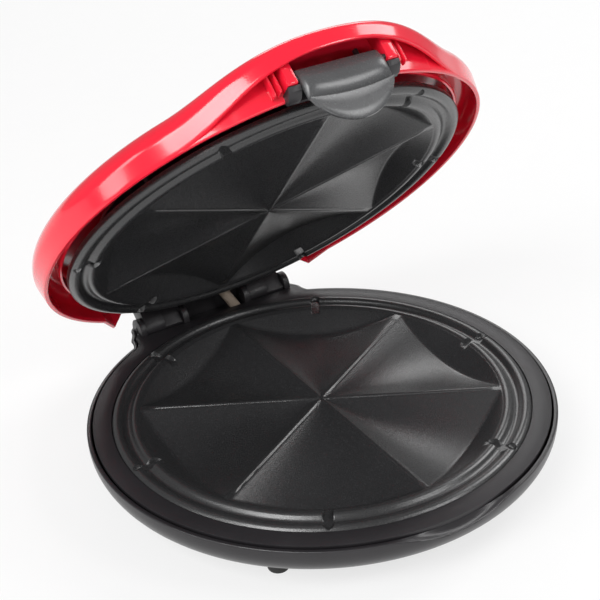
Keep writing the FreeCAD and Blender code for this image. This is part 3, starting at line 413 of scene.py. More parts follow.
def extruded(outline, axis, low, high):
    """Points and faces of an outline pushed along an axis; the outline lists the other two axes in order."""
    order = {"x": lambda a, b, c: (c, a, b), "y": lambda a, b, c: (a, c, b), "z": lambda a, b, c: (a, b, c)}
    place = order[axis]
    count = len(outline)
    points = [place(a, b, low) for a, b in outline] + [place(a, b, high) for a, b in outline]
    faces = [tuple(range(count)), tuple(range(2 * count - 1, count - 1, -1))]
    faces += [(i, i + count, (i + 1) % count + count, (i + 1) % count) for i in range(count)]
    return points, faces


def block(x, y, z):
    """A box as an extruded rectangle."""
    return extruded([(x[0], y[0]), (x[1], y[0]), (x[1], y[1]), (x[0], y[1])], "z", z[0], z[1])


def joined(name, shapes, material, bevel=0.5, segments=2, sharp=35.0):
    """One object from several point and face lists, with its edges rounded."""
    points = []
    faces = []
    for shape_points, shape_faces in shapes:
        shift = len(points)
        points += shape_points
        faces += [tuple(shift + index for index in face) for face in shape_faces]
    piece = make_object(name, points, faces, material, sharp)
    if bevel:
        rounding = piece.modifiers.new("Rounding", "BEVEL")
        rounding.width = bevel * MM
        rounding.segments = segments
        rounding.limit_method = "ANGLE"
        rounding.angle_limit = math.radians(40)
        rounding.harden_normals = False
        apply_modifiers(piece, sharp)
    return piece


def apply_modifiers(piece, sharp=35.0):
    """Replace a piece's mesh by what its modifiers make of it."""
    bpy.context.view_layer.update()
    graph = bpy.context.evaluated_depsgraph_get()
    mesh = bpy.data.meshes.new_from_object(piece.evaluated_get(graph))
    piece.modifiers.clear()
    piece.data = mesh
    mesh.shade_smooth()
    mesh.set_sharp_from_angle(angle=math.radians(sharp))
    return piece


def swing(piece):
    """Turn a piece that was made for the closed lid to where the open lid holds it."""
    to_hinge = Matrix.Translation(hinge_point)
    turn = Matrix.Rotation(math.radians(open_angle), 4, Vector((-1, 0, 0)))
    piece.data.transform(to_hinge @ turn @ to_hinge.inverted())
    return piece


def settle(piece, body, slot_name, *nodes):
    """Put a piece on its body and hide the plain solids it stands for; the slot name is not used."""
    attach(piece, body)
    if nodes:
        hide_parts(*nodes)
    return piece


# Geometry Nodes for what repeats

def copies_round(name, count_default):
    """A tree that repeats a sector round the upright axis and closes the seams."""
    tree = bpy.data.node_groups.new(name, "GeometryNodeTree")
    tree.interface.new_socket("Geometry", in_out="INPUT", socket_type="NodeSocketGeometry")
    count = tree.interface.new_socket("Count", in_out="INPUT", socket_type="NodeSocketInt")
    count.default_value = count_default
    seam = tree.interface.new_socket("Seam", in_out="INPUT", socket_type="NodeSocketFloat")
    seam.default_value = 0.000005
    coat = tree.interface.new_socket("Material", in_out="INPUT", socket_type="NodeSocketMaterial")
    tree.interface.new_socket("Geometry", in_out="OUTPUT", socket_type="NodeSocketGeometry")
    nodes = tree.nodes
    links = tree.links
    given = nodes.new("NodeGroupInput")
    line = nodes.new("GeometryNodeMeshLine")
    links.new(given.outputs["Count"], line.inputs["Count"])
    line.inputs["Offset"].default_value = (0, 0, 0)
    index = nodes.new("GeometryNodeInputIndex")
    share = nodes.new("ShaderNodeMath")
    share.operation = "DIVIDE"
    links.new(index.outputs[0], share.inputs[0])
    links.new(given.outputs["Count"], share.inputs[1])
    angle = nodes.new("ShaderNodeMath")
    angle.operation = "MULTIPLY"
    angle.inputs[1].default_value = math.tau
    links.new(share.outputs[0], angle.inputs[0])
    turn = nodes.new("ShaderNodeCombineXYZ")
    links.new(angle.outputs[0], turn.inputs["Z"])
    spread = nodes.new("GeometryNodeInstanceOnPoints")
    links.new(line.outputs["Mesh"], spread.inputs["Points"])
    links.new(given.outputs["Geometry"], spread.inputs["Instance"])
    links.new(turn.outputs[0], spread.inputs["Rotation"])
    real = nodes.new("GeometryNodeRealizeInstances")
    links.new(spread.outputs[0], real.inputs[0])
    merge = nodes.new("GeometryNodeMergeByDistance")
    links.new(real.outputs[0], merge.inputs["Geometry"])
    links.new(given.outputs["Seam"], merge.inputs["Distance"])
    paint = nodes.new("GeometryNodeSetMaterial")
    links.new(merge.outputs[0], paint.inputs["Geometry"])
    links.new(given.outputs["Material"], paint.inputs["Material"])
    result = nodes.new("NodeGroupOutput")
    links.new(paint.outputs[0], result.inputs[0])
    return tree, {"Count": count.identifier, "Seam": seam.identifier, "Material": coat.identifier}


def screws_on_points():
    """A tree that stands a pan-head screw with a crossed slot on every point of a mesh, pointing down."""
    tree = bpy.data.node_groups.new("Screws on points", "GeometryNodeTree")
    tree.interface.new_socket("Geometry", in_out="INPUT", socket_type="NodeSocketGeometry")
    names = {}
    for label, size in (("Head radius", 0.0028), ("Head height", 0.0016), ("Slot width", 0.0007)):
        socket = tree.interface.new_socket(label, in_out="INPUT", socket_type="NodeSocketFloat")
        socket.default_value = size
        names[label] = socket.identifier
    names["Tilt"] = tree.interface.new_socket("Tilt", in_out="INPUT", socket_type="NodeSocketFloat").identifier
    names["Material"] = tree.interface.new_socket(
        "Material", in_out="INPUT", socket_type="NodeSocketMaterial").identifier
    tree.interface.new_socket("Geometry", in_out="OUTPUT", socket_type="NodeSocketGeometry")
    nodes = tree.nodes
    links = tree.links
    given = nodes.new("NodeGroupInput")

    def number(operation, first, second):
        node = nodes.new("ShaderNodeMath")
        node.operation = operation
        for socket, value in zip(node.inputs, (first, second)):
            if isinstance(value, bpy.types.NodeSocket):
                links.new(value, socket)
            else:
                socket.default_value = value
        return node.outputs[0]

    def upright(x, y, z):
        node = nodes.new("ShaderNodeCombineXYZ")
        for socket, value in zip(node.inputs, (x, y, z)):
            if isinstance(value, bpy.types.NodeSocket):
                links.new(value, socket)
            else:
                socket.default_value = value
        return node.outputs[0]

    radius = given.outputs["Head radius"]
    height = given.outputs["Head height"]
    slot = given.outputs["Slot width"]
    head = nodes.new("GeometryNodeMeshCone")
    head.inputs["Vertices"].default_value = 32
    head.inputs["Side Segments"].default_value = 3
    links.new(number("MULTIPLY", radius, 0.78), head.inputs["Radius Top"])
    links.new(radius, head.inputs["Radius Bottom"])
    links.new(height, head.inputs["Depth"])
    bars = nodes.new("GeometryNodeJoinGeometry")
    for x, y in ((number("MULTIPLY", radius, 1.15), slot), (slot, number("MULTIPLY", radius, 1.15))):
        bar = nodes.new("GeometryNodeMeshCube")
        links.new(upright(x, y, number("MULTIPLY", height, 0.8)), bar.inputs["Size"])
        lift = nodes.new("GeometryNodeTransform")
        links.new(bar.outputs[0], lift.inputs["Geometry"])
        links.new(upright(0.0, 0.0, height), lift.inputs["Translation"])
        links.new(lift.outputs[0], bars.inputs[0])
    sunk = nodes.new("GeometryNodeMeshBoolean")
    sunk.operation = "DIFFERENCE"
    links.new(head.outputs["Mesh"], sunk.inputs["Mesh 1"])
    links.new(bars.outputs[0], sunk.inputs["Mesh 2"])
    flip = nodes.new("GeometryNodeTransform")
    links.new(sunk.outputs["Mesh"], flip.inputs["Geometry"])
    flip.inputs["Rotation"].default_value = (math.pi, 0, 0)
    spread = nodes.new("GeometryNodeInstanceOnPoints")
    links.new(given.outputs["Geometry"], spread.inputs["Points"])
    links.new(flip.outputs[0], spread.inputs["Instance"])
    links.new(upright(given.outputs["Tilt"], 0.0, 0.0), spread.inputs["Rotation"])
    real = nodes.new("GeometryNodeRealizeInstances")
    links.new(spread.outputs[0], real.inputs[0])
    paint = nodes.new("GeometryNodeSetMaterial")
    links.new(real.outputs[0], paint.inputs["Geometry"])
    links.new(given.outputs["Material"], paint.inputs["Material"])
    result = nodes.new("NodeGroupOutput")
    links.new(paint.outputs[0], result.inputs[0])
    return tree, names


def run_tree(piece, tree, names, values, sharp=35.0):
    """Run a tree on a piece with its own values, and keep the result as a plain mesh."""
    modifier = piece.modifiers.new("Tree", "NODES")
    modifier.node_group = tree
    for label, value in values.items():
        modifier[names[label]] = value
    return apply_modifiers(piece, sharp)


# Cooking plates

POCKET_SHIFT = 3.6
PLATE_EDGE = 111.4
POCKET_EDGE = 96.3
SPOKE_TOP = -0.8
WALL_RUN = 1.28
INNER_BEAD = 98.8
OUTER_BEAD = 108.4
BEAD_HALF = 2.1
NOTCH_FLOOR = -2.7
RIB_HIGH = 0.75
RIB_HALF = 1.25


def soft_max(first, second, radius):
    """The larger of two heights, with a fillet where they cross."""
    gap = max(radius - abs(first - second), 0) / radius
    return max(first, second) + gap * gap * radius / 4


def pocket_floor(u, v, dip):
    """Height of a pocket's floor, a leaning cone, at a place along and across the pocket's middle line."""
    lean = math.atan((math.cos(dip) - math.cos(math.radians(30))) / math.sin(dip))
    half = lean + dip
    along = u * math.cos(lean)
    across = math.cos(half) ** 2 * (u * u + v * v)
    bend = math.sin(lean) ** 2 - math.cos(half) ** 2
    middle = along * math.sin(lean)
    root = max(middle ** 2 - bend * (along ** 2 - across), 0)
    return (-middle + math.sqrt(root)) / bend


def bead_height(radius):
    """Height of the two sealing beads and the groove between them."""
    if abs(radius - INNER_BEAD) <= BEAD_HALF:
        return SPOKE_TOP * ((radius - INNER_BEAD) / BEAD_HALF) ** 2
    if abs(radius - OUTER_BEAD) <= BEAD_HALF:
        return SPOKE_TOP * ((radius - OUTER_BEAD) / BEAD_HALF) ** 2
    if INNER_BEAD < radius < OUTER_BEAD:
        middle = (INNER_BEAD + OUTER_BEAD) / 2
        half = middle - INNER_BEAD - BEAD_HALF
        return NOTCH_FLOOR + (SPOKE_TOP - NOTCH_FLOOR) * ((radius - middle) / half) ** 2
    if radius > OUTER_BEAD:
        return SPOKE_TOP - 1.0 * (radius - OUTER_BEAD - BEAD_HALF) / (PLATE_EDGE - OUTER_BEAD - BEAD_HALF)
    return SPOKE_TOP


def plate_height(radius, degrees, dip):
    """Height of the food side of a plate, from its bead tops."""
    turn = math.radians((degrees + 30) % 60 - 30)
    along = radius * math.cos(turn)
    across = radius * math.sin(turn)
    height = bead_height(radius)
    if radius < POCKET_EDGE + 1.5:
        floor = SPOKE_TOP
        if along > POCKET_SHIFT:
            floor = SPOKE_TOP + min(pocket_floor(along - POCKET_SHIFT, across, dip), 0.4)
        wall = SPOKE_TOP - (POCKET_EDGE - radius) / WALL_RUN
        inside = soft_max(floor, wall, 0.9)
        height = -soft_max(-inside, -height, 0.35)
        beside = abs(radius * math.sin(math.radians(30) - abs(turn)))
        fade = min(max((92 - radius) / 4, 0), 1)
        height += RIB_HIGH * fade * math.sqrt(max(1 - (beside / RIB_HALF) ** 2, 0))
    reach = max(93.8 - along, along - 108.1, 0)
    clear = math.hypot(reach, across) - 2.4
    if clear < 0.3:
        blend = min(max((0.3 - clear) / 0.6, 0), 1)
        target = min(height, NOTCH_FLOOR)
        height += (target - height) * blend * blend * (3 - 2 * blend)
    return height


def cooking_plate(name, dip):
    """One sixth of a plate is worked out, and repeated round the middle."""
    half = [0.2 * index for index in range(12)] + [2.4 + 0.95 * index for index in range(25)]
    half += [26.1 + 0.4 * index for index in range(7)] + [28.8 + 0.15 * index for index in range(9)]
    angles = [-angle for angle in reversed(half[1:])] + half
    radii = [1.2, 2.5] + [4 + 3 * index for index in range(21)]
    radii += [65.5 + 0.8 * index for index in range(38)]
    radii += [95.6 + 0.3 * index for index in range(53)] + [PLATE_EDGE]
    under = [(PLATE_EDGE, -4.6), (PLATE_EDGE - 0.3, -4.9), (105, -4.9), (99, -4.9)]
    rows = [[Vector((0, 0, SPOKE_TOP))]]
    for radius in radii:
        rows.append([circle_point(radius, angle, plate_height(radius, angle, dip)) for angle in angles])
    for radius, height in under:
        rows.append([circle_point(radius, angle, height) for angle in angles])
    for radius in (94, 86, 72, 50, 28, 10):
        rows.append([circle_point(radius, angle, plate_height(radius - 3, angle, dip) - 3.4)
                     for angle in angles])
    rows.append([Vector((0, 0, SPOKE_TOP - 3.4))])
    points, faces = skin(rows, closed=False)
    sector = make_object(name, points, faces, "coating", 50)
    tree, names = copies_round("Sectors round the middle", 6)
    return run_tree(sector, tree, names, {"Count": 6, "Seam": 0.000004,
                                          "Material": materials["coating"]}, 50)


# Base

def base_radius(height, inset=0.0):
    """Radius of the bowl at a height."""
    height = max(height, 5 + inset)
    if height < 17.3 + inset * 0.8:
        return 82.3 + math.sqrt(max((60 - inset) ** 2 - (65 - height) ** 2, 0))
    if height < 30:
        return 109 + math.sqrt(max((16 - inset) ** 2 - (30 - height) ** 2, 0))
    return 125 - inset


def house_outline(share, inset):
    """Right half of the rear housing's plan, from narrow at its bottom (0) to wide at the rim (1)."""
    half = 48 + 9 * share - inset
    back = 125 + 9 * share - inset
    swell = [(half + 9 - 9 * math.sin(math.radians(a)), 105 + 13 * (1 - math.cos(math.radians(a))))
             for a in range(0, 91, 15)]
    corner = [(half - 4 - 9 * (1 - math.cos(math.radians(a))), back - 9 + 9 * math.sin(math.radians(a)))
              for a in range(0, 91, 15)]
    return [(half + 9, 70)] + swell + corner + [(0, back)]


def ray_reach(degrees, outline):
    """How far out a half-plan, mirrored, is met in a direction."""
    dx, dy = abs(math.cos(math.radians(degrees))), math.sin(math.radians(degrees))
    best = 0.0
    for (ax, ay), (bx, by) in zip(outline, outline[1:]):
        ex, ey = bx - ax, by - ay
        cross = dx * ey - dy * ex
        if abs(cross) < 1e-9:
            continue
        far = (ax * ey - ay * ex) / cross
        share = (ax * dy - ay * dx) / cross
        if far > 0 and -1e-6 <= share <= 1 + 1e-6:
            best = max(best, far)
    return best


SCOOP_HALF = 40
SCOOP_DEEP = 5.6


def scoop_depth(x, y):
    """How far the rim dips in front, so that a finger can reach the latch."""
    if y > 0 or abs(x) > SCOOP_HALF:
        return 0.0
    return SCOOP_DEEP * 0.5 * (1 + math.cos(math.pi * abs(x) / SCOOP_HALF))


def shell_ring(angles, height, inset, housed):
    """One line round the base's wall, with the scoop in front and the hinge bays behind."""
    share = min(max((height - 12) / 20.5, 0), 1)
    outline = house_outline(share, inset)
    ring = []
    for angle in angles:
        radius = base_radius(height, inset)
        if housed and 40 < angle < 140:
            radius = max(radius, ray_reach(angle, outline))
        level = height
        x = radius * math.cos(math.radians(angle))
        y = radius * math.sin(math.radians(angle))
        if y > 116.8 and 22.5 < abs(x) < 46.5:
            level = min(height, 26.5)
        deep = scoop_depth(x, y)
        dip = deep / SCOOP_DEEP
        if deep > 0 and height > 20:
            above = (height - 20) / 12.5
            if inset == 0:
                level = height - deep * above
                radius = base_radius(level)
            elif inset < 2.4:
                slope = inset / 2.2
                level = height - deep + (deep - 1.3 * dip) * slope ** 2
                radius = 125 - (2.2 + 1.4 * dip) * slope
            else:
                level = height - 1.2 * dip * above
                radius -= 2.6 * dip * min(above * 1.5, 1)
        ring.append(circle_point(radius, angle, level))
    return ring


def base_shell():
    edges = []
    for x in (22.5, 46.5):
        beside = math.degrees(math.atan2(x, 133.6))
        edges += [(90 + beside, 0.01, 0.01), (90 - beside, 0.01, 0.01)]
    angles = bearings(2.0, [(270, 19, 0.75), (65, 9, 0.75), (115, 9, 0.75)] + edges)
    rings = [[Vector((0, 0, 5))]]
    for radius in (30, 60, 82.3):
        rings.append([circle_point(radius, angle, 5) for angle in angles])
    rows = [5.3, 5.9, 6.8, 8, 9.4, 10.8]
    rings += [shell_ring(angles, height, 0, False) for height in rows + [12]]
    rows = [12, 13.5, 15, 16.2, 17.3, 18.6, 20, 21.6, 23.4, 25.2, 27, 28.6, 30, 31.2, 31.9]
    rings += [shell_ring(angles, height, 0, True) for height in rows]
    rings += [shell_ring(angles, height, inset, True)
              for height, inset in ((32.3, 0.2), (32.5, 0.6), (32.5, 1.0), (32.5, 1.4), (32.5, 1.8), (32.3, 2.2))]
    rings += [shell_ring(angles, height, 2.4, True) for height in (31.8, 30, 26, 22, 18, 14.5)]
    rings += [shell_ring(angles, height, 2.4, False) for height in (14.4, 12, 9.4, 7.7)]
    rings.append([Vector((0, 0, 7.4))])
    points, faces = skin(rings)
    bowl = make_object("bowl", points, faces, "black_gloss", 40)
    wells = joined("well_tools", [well(place, 0.0, 3.4, -2.0, 14.0) for place in POSTS], "black_gloss", 0)
    opened = bowl.modifiers.new("Screw wells", "BOOLEAN")
    opened.operation = "DIFFERENCE"
    opened.object = wells
    apply_modifiers(bowl, 40)
    bpy.data.objects.remove(wells)
    return bowl


POSTS = [circle_point(104, degrees, 0) for degrees in (20, 160, 200, 340)]


def well(place, inner, outer, low, high):
    """Points and faces of a post, or of a tube where it has an inner radius; no low end means on the bowl."""
    rings = []
    for radius, height in ((outer, low), (outer, high), (inner, high), (inner, low)):
        ring = []
        for index in range(24):
            point = place + circle_point(radius, 15 * index, 0)
            reach = math.hypot(point.x, point.y)
            foot = 66.2 - math.sqrt(60 ** 2 - (reach - 82.3) ** 2)
            point.z = foot if height is None else height
            ring.append(point)
        rings.append(ring)
    if inner == 0:
        points, faces = skin(rings[:2])
        return points, faces + [tuple(range(24)), tuple(range(24, 48))]
    return skin(rings, looped=True)


def screw_posts():
    """The posts inside the bowl that the base screws stand in."""
    shapes = []
    for place in POSTS:
        shapes.append(well(place, 3.4, 5.2, None, 16.5))
        shapes.append(well(place, 0, 5.2, 16.4, 26.4))
    return joined("screw_posts", shapes, "black_gloss", 0)


def frame_outline():
    """Outer line of the frame round the lower plate, with its rear deck and the two hinge slots."""
    deck = house_outline(1.0, 3.3)
    line = []
    for step in range(-269, 90):
        degrees = step + 0.5
        if 69.5 < degrees % 360 < 110.5:
            continue
        radius = max(121.6, ray_reach(degrees, deck) if 40 < degrees % 360 < 140 else 0)
        point = circle_point(radius, degrees, 0)
        line.append((point.x, point.y))
    right = [(46.5, 129.4), (46.5, 116.8), (22.5, 116.8)]
    left = [(-x, y) for x, y in reversed(right)]
    return line + right + left


def flat_ring(outer, inner, low, high):
    """Points and faces of a flat plate with one opening."""
    shape = bmesh.new()
    for outline in (outer, inner):
        corners = [shape.verts.new((x, y, low)) for x, y in outline]
        for first, second in zip(corners, corners[1:] + corners[:1]):
            shape.edges.new((first, second))
    bmesh.ops.triangle_fill(shape, edges=shape.edges[:], use_beauty=True)
    filled = shape.faces[:]
    lifted = bmesh.ops.extrude_face_region(shape, geom=filled, use_keep_orig=True)
    raised = [part for part in lifted["geom"] if isinstance(part, bmesh.types.BMVert)]
    bmesh.ops.translate(shape, verts=raised, vec=(0, 0, high - low))
    shape.verts.index_update()
    points = [vert.co.copy() for vert in shape.verts]
    faces = [tuple(vert.index for vert in face.verts) for face in shape.faces]
    shape.free()
    return points, faces


def ear(start, end, foot):
    """One hinge ear of the base: a round top on a foot that reaches the deck."""
    outline = arc((123, 35), 6.5, 0, 180, 16) + [(116.5, foot), (129.5, foot)]
    return extruded(outline, "x", start, end)


def base_frame():
    hoop = [(111.8 * math.cos(math.tau * i / 240), 111.8 * math.sin(math.tau * i / 240)) for i in range(240)]
    ring = flat_ring(frame_outline(), hoop, 31.3, 33.5)
    shapes = [ring]
    for side in (-1, 1):
        for near, far, foot in ((18.9, 22.5, 28.6), (46.5, 50.1, 32.8)):
            start, end = sorted((near * side, far * side))
            shapes.append(ear(start, end, foot))
    # the lower floor between the arms, where the sleeve comes out
    shapes.append(block((-22.5, 22.5), (112, 130.6), (27.4, 29.2)))
    outer = arc((123, 35), 10.3, 43.3, 70.1, 5)
    inner = arc((123, 35), 8.3, 68, 46, 5)
    for start, end, cap in ((-21.5, 5.0, False), (5.0, 13.6, True), (13.6, 21.5, False)):
        line = [(130.5, 28.0)] + outer + inner + [(128.1, 28.0)]
        if cap:
            line = [(130.5, 28.0), (130.5, 41.2), (128.1, 41.2), (128.1, 28.0)]
        shapes.append(extruded(line, "x", start, end))
    return joined("ring_and_deck", shapes, "black_satin", 0.45)


def ring_collar():
    profile = [(111.8, 33.2), (111.8, 30.2), (107.8, 30.2), (107.8, 28), (111.8, 28), (111.8, 24.7),
               (113.9, 24.7), (113.9, 31.4), (112.2, 33.3)]
    return spun("collar", profile, "black_satin", 180)


# Lid

def bump_share(degrees, spread):
    """How much of the handle there is in a direction: 1 in front, 0 past its ends."""
    away = abs((degrees - 270 + 180) % 360 - 180) / spread
    return 0.5 * (1 + math.cos(math.pi * away ** 1.3)) if away < 1 else 0.0


def crown_height(radius, top, inset=0.0):
    bend = 651.0
    return top - bend + math.sqrt((bend - inset) ** 2 - radius ** 2)


def lid_section(share, top, reach):
    """Outer line of the lid's wall from near the crown to its lower edge, as (radius, height)."""
    line = []
    for index in range(1, 15):
        radius = 85 * index / 14
        line.append((radius, crown_height(radius, top)))
    plain = []
    grown = []
    for index in range(1, 10):
        step = index / 9
        radius = 85 + (117.39 - 85) * step
        plain.append((radius, crown_height(radius, top)))
        grown.append((85 + (reach - 4.6 - 85) * step, crown_height(85, top) - 0.9 * step))
    start = math.degrees(math.asin((117.39 - 115.5) / 10.5))
    for index in range(1, 11):
        step = index / 10
        angle = math.radians(start + (90 - start) * step)
        plain.append((115.5 + 10.5 * math.sin(angle), 48 + 10.5 * math.cos(angle)))
        angle = math.radians(90 * step)
        grown.append((reach - 4.6 + 4.4 * math.sin(angle), top - 11 + 4.4 * math.cos(angle)))
    for index in range(1, 8):
        step = index / 7
        plain.append((126 - 1.5 * step, 48 - 9.2 * step))
        grown.append((reach - 0.2 + 0.2 * step, top - 11 - 5 * step))
    for (a, b), (c, d) in zip(plain, grown):
        line.append((a + (c - a) * share, b + (d - b) * share))
    return line


def lid_inner_section(share, top, reach):
    """Inner line of the lid's wall, from its lower edge back to near the crown."""
    wall = 2.4
    plain = []
    grown = []
    for index in range(5):
        step = index / 4
        plain.append((122.1 + 1.5 * step, 38.8 + 9.2 * step))
        grown.append((reach - 2.4, top - 16 + 4.2 * step))
    for index in range(1, 8):
        step = index / 7
        angle = math.radians(90 * (1 - step))
        plain.append((115.5 + 8.1 * math.sin(angle), 48 + 8.1 * math.cos(angle)))
        grown.append((reach - 4.6 + 2.2 * math.sin(angle), top - 11.2 + 2.0 * math.cos(angle)))
    for index in range(1, 6):
        step = index / 5
        radius = 115.5 + (85 - 115.5) * step
        plain.append((radius, crown_height(radius, top, wall)))
        grown.append((reach - 4.6 + (85 - reach + 4.6) * step,
                      top - 9.2 + (crown_height(85, top, wall) - top + 9.2) * step))
    line = [(a + (c - a) * share, b + (d - b) * share) for (a, b), (c, d) in zip(plain, grown)]
    return line + [(radius, crown_height(radius, top, wall)) for radius in (60, 30)]


# The skirt is squared off beside the hinge: half of its plan there, from where it leaves the round
REAR_CORNER = [(75, 99.3), (66.2, 114.2), (46, 117.8)]
SKIRT_EDGE = 124.5
REAR_GAP_WIDE = 30.1
REAR_GAP_NARROW = 24.5
GAP_TOP = 51.0


def corner_swell(degrees):
    """How far the squared corner stands out of the round skirt in a direction."""
    return max(ray_reach(degrees, REAR_CORNER) - SKIRT_EDGE, 0) if degrees < 180 else 0.0


def corner_share(height):
    """The corner's full swell at the skirt's edge, fading into the dome above."""
    if height < 46:
        return 1 - 0.02 * (height - 38)
    return 0.42 * (1 + math.cos(math.pi * min((height - 46) / 11, 1)))


def gap_floor(degrees):
    """Lower edge of the skirt behind, where a gap with leaning sides leaves room for the hinge."""
    away = abs(degrees - 90)
    if away >= REAR_GAP_WIDE:
        return 0.0
    rise = (REAR_GAP_WIDE - away) / (REAR_GAP_WIDE - REAR_GAP_NARROW)
    return min(38 + (GAP_TOP - 38) * rise, GAP_TOP)


def lid_angles():
    corners = []
    for side in (-1, 1):
        corners += [(90 + side * 37.06, 0.02, 0.02), (90 + side * REAR_GAP_WIDE, 0.02, 0.02),
                    (90 + side * REAR_GAP_NARROW, 0.02, 0.02)]
    return bearings(1.5, [(270, 44, 0.75)] + corners)


def lid_shell(sizes):
    top = sizes.lid_top / MM
    reach = sizes.handle_reach / MM
    spread = math.degrees(sizes.handle_spread)
    angles = lid_angles()
    sections = []
    for angle in angles:
        share = bump_share(angle, spread)
        outer = lid_section(share, top, reach)
        inner = lid_inner_section(share, top, reach)
        low = 38 + 14.3 * share
        edge, inside = outer[-1][0], inner[0][0]
        outer[-1] = (edge, low + 0.8)
        inner[0] = (inside, low + 0.8)
        lip = [(edge - 0.25, low + 0.2), (edge - 0.8, low), (inside + 0.8, low), (inside + 0.25, low + 0.2)]
        floor = gap_floor(angle)
        swell = corner_swell(angle)
        sections.append([(radius + swell * corner_share(height) if radius > 116 else radius,
                          max(height, floor)) for radius, height in outer + lip + inner])
    rings = [[Vector((0, 0, top))]]
    for row in range(len(sections[0])):
        rings.append([circle_point(section[row][0], angle, section[row][1])
                      for angle, section in zip(angles, sections)])
    rings.append([Vector((0, 0, top - 2.4))])
    points, faces = skin(rings)
    return swing(make_object("lid_skin", points, faces, "red_gloss", 32))


def wall_behind_handle(spread, top):
    """The lid's round skirt where it runs on behind the handle, either side of the latch."""
    shapes = []
    for side in (-1, 1):
        rings = []
        for index in range(40):
            away = 12.7 + (spread - 0.8 - 12.7) * index / 39
            angle = 270 + side * away
            share = bump_share(angle, spread)
            high = 48 + (top - 56.6) * share ** 0.45
            line = [(124.5, 38.6), (125.2, high), (122.6, high), (122.1, 38.6), (122.6, 38.05), (124.0, 38.05)]
            rings.append([circle_point(radius, angle, height) for radius, height in line])
        points, faces = skin(rings)
        count = len(rings[0])
        faces.append(tuple(range(count)))
        faces.append(tuple(len(points) - count + index for index in range(count)))
        shapes.append((points, faces))
    return shapes


def cheek(side):
    """A bracket beside the latch and the thin ribs outside it."""
    outline = [(-120.5, 60.2), (-127, 60.2), (-129.2, 58), (-129.2, 42.3), (-128.6, 41.7), (-120.5, 41.7)]
    shapes = []
    for near, far, low in ((23.8, 29.0, 41.7), (31.0, 32.3, 41.2), (34.2, 35.5, 40.4)):
        start, end = sorted((side * near, side * far))
        front = -127.6 + 0.25 * (near - 23.8)
        line = [(-120.5, 59.6), (-126.6, 59.6), (front, 57.4), (front, low + 0.6), (front + 0.6, low),
                (-120.5, low)]
        shapes.append(extruded(line if near > 24 else outline, "x", start, end))
    return shapes


def lid_inside(sizes):
    top = sizes.lid_top / MM
    spread = math.degrees(sizes.handle_spread)
    shapes = wall_behind_handle(spread, top)
    for side in (-1, 1):
        shapes += cheek(side)
    return swing(joined("lid_brackets", shapes, "red_gloss", 0.35))


def lid_frame():
    profile = [(111.8, 45.1), (112.3, 44.5), (113.3, 44.5), (113.8, 45.1), (113.8, 52), (111.8, 52)]
    return swing(spun("lid_ring", profile, "red_gloss", 240))


def lid_frame_lugs():
    shapes = []
    for degrees in (0, 45, 135, 180, 225, 315):
        points, faces = block((113, 121), (-4, 4), (50, 52))
        turn = Matrix.Rotation(math.radians(degrees), 3, "Z")
        shapes.append(([turn @ Vector(point) for point in points], faces))
    return swing(joined("lid_ring_lugs", shapes, "red_gloss", 0.3))


# Hinges and latch

def hinge_carrier():
    """The black carrier along the lid's rear edge, with its two arms and knuckles."""
    shapes = []
    spans = ((-62, -52, 42, 121.4), (-52, -22, 42.2, 123.4), (-22, 1, 45.6, 121.0), (1, 11, 45.6, 119.2),
             (11, 22, 45.6, 121.0), (22, 52, 42.2, 123.4), (52, 62, 42, 121.4))
    for start, end, low, outer in spans:
        rings = []
        count = 12
        for index in range(count + 1):
            x = start + (end - start) * index / count
            high = min(outer, 120.4)
            line = [(114.2, low), (outer, low), (outer, 50.4), (high - 0.01, 50.5), (high - 0.01, 54),
                    (114.2, 54)]
            rings.append([Vector((x, math.sqrt(radius ** 2 - x * x), height)) for radius, height in line])
        points, faces = skin(rings)
        faces += [tuple(range(6)), tuple(len(points) - 6 + index for index in range(6))]
        shapes.append((points, faces))
    barrel = arc((123, 35), 5.5, 0, -180, 18)
    for side in (-1, 1):
        near, far = (23.0, 46.0) if side > 0 else (-46.0, -23.0)
        middle = (near + far) / 2
        block_line = barrel + [(117.5, 46), (118.6, 49.8), (128.5, 49.8)]
        shapes.append(extruded(block_line, "x", near, middle + 0.4))
        slab_line = arc((123, 35), 5.5, 0, -129.5, 14) + [(119.5, 49.8), (128.5, 49.8)]
        shapes.append(extruded(slab_line, "x", middle + 0.4, far))
    return swing(joined("carrier", shapes, "black_satin", 0.5))


LATCH_HALF = 22.2
RIDGE_END = 33.4
RIDGE_BOW = 2.3
FLAP_LOW = 18.2


def latch_ridge(x):
    """Height of the ridge between the grip's roll and the flap; it bows down in the middle."""
    return RIDGE_END - RIDGE_BOW * (1 - (x / LATCH_HALF) ** 2)


def latch_lower(x):
    """Lower edge of the latch's half-round flap."""
    depth = RIDGE_END - 0.6 - FLAP_LOW
    curve = (LATCH_HALF ** 2 + depth ** 2) / (2 * depth)
    return RIDGE_END - 0.6 - math.sqrt(curve ** 2 - x * x) + curve - depth


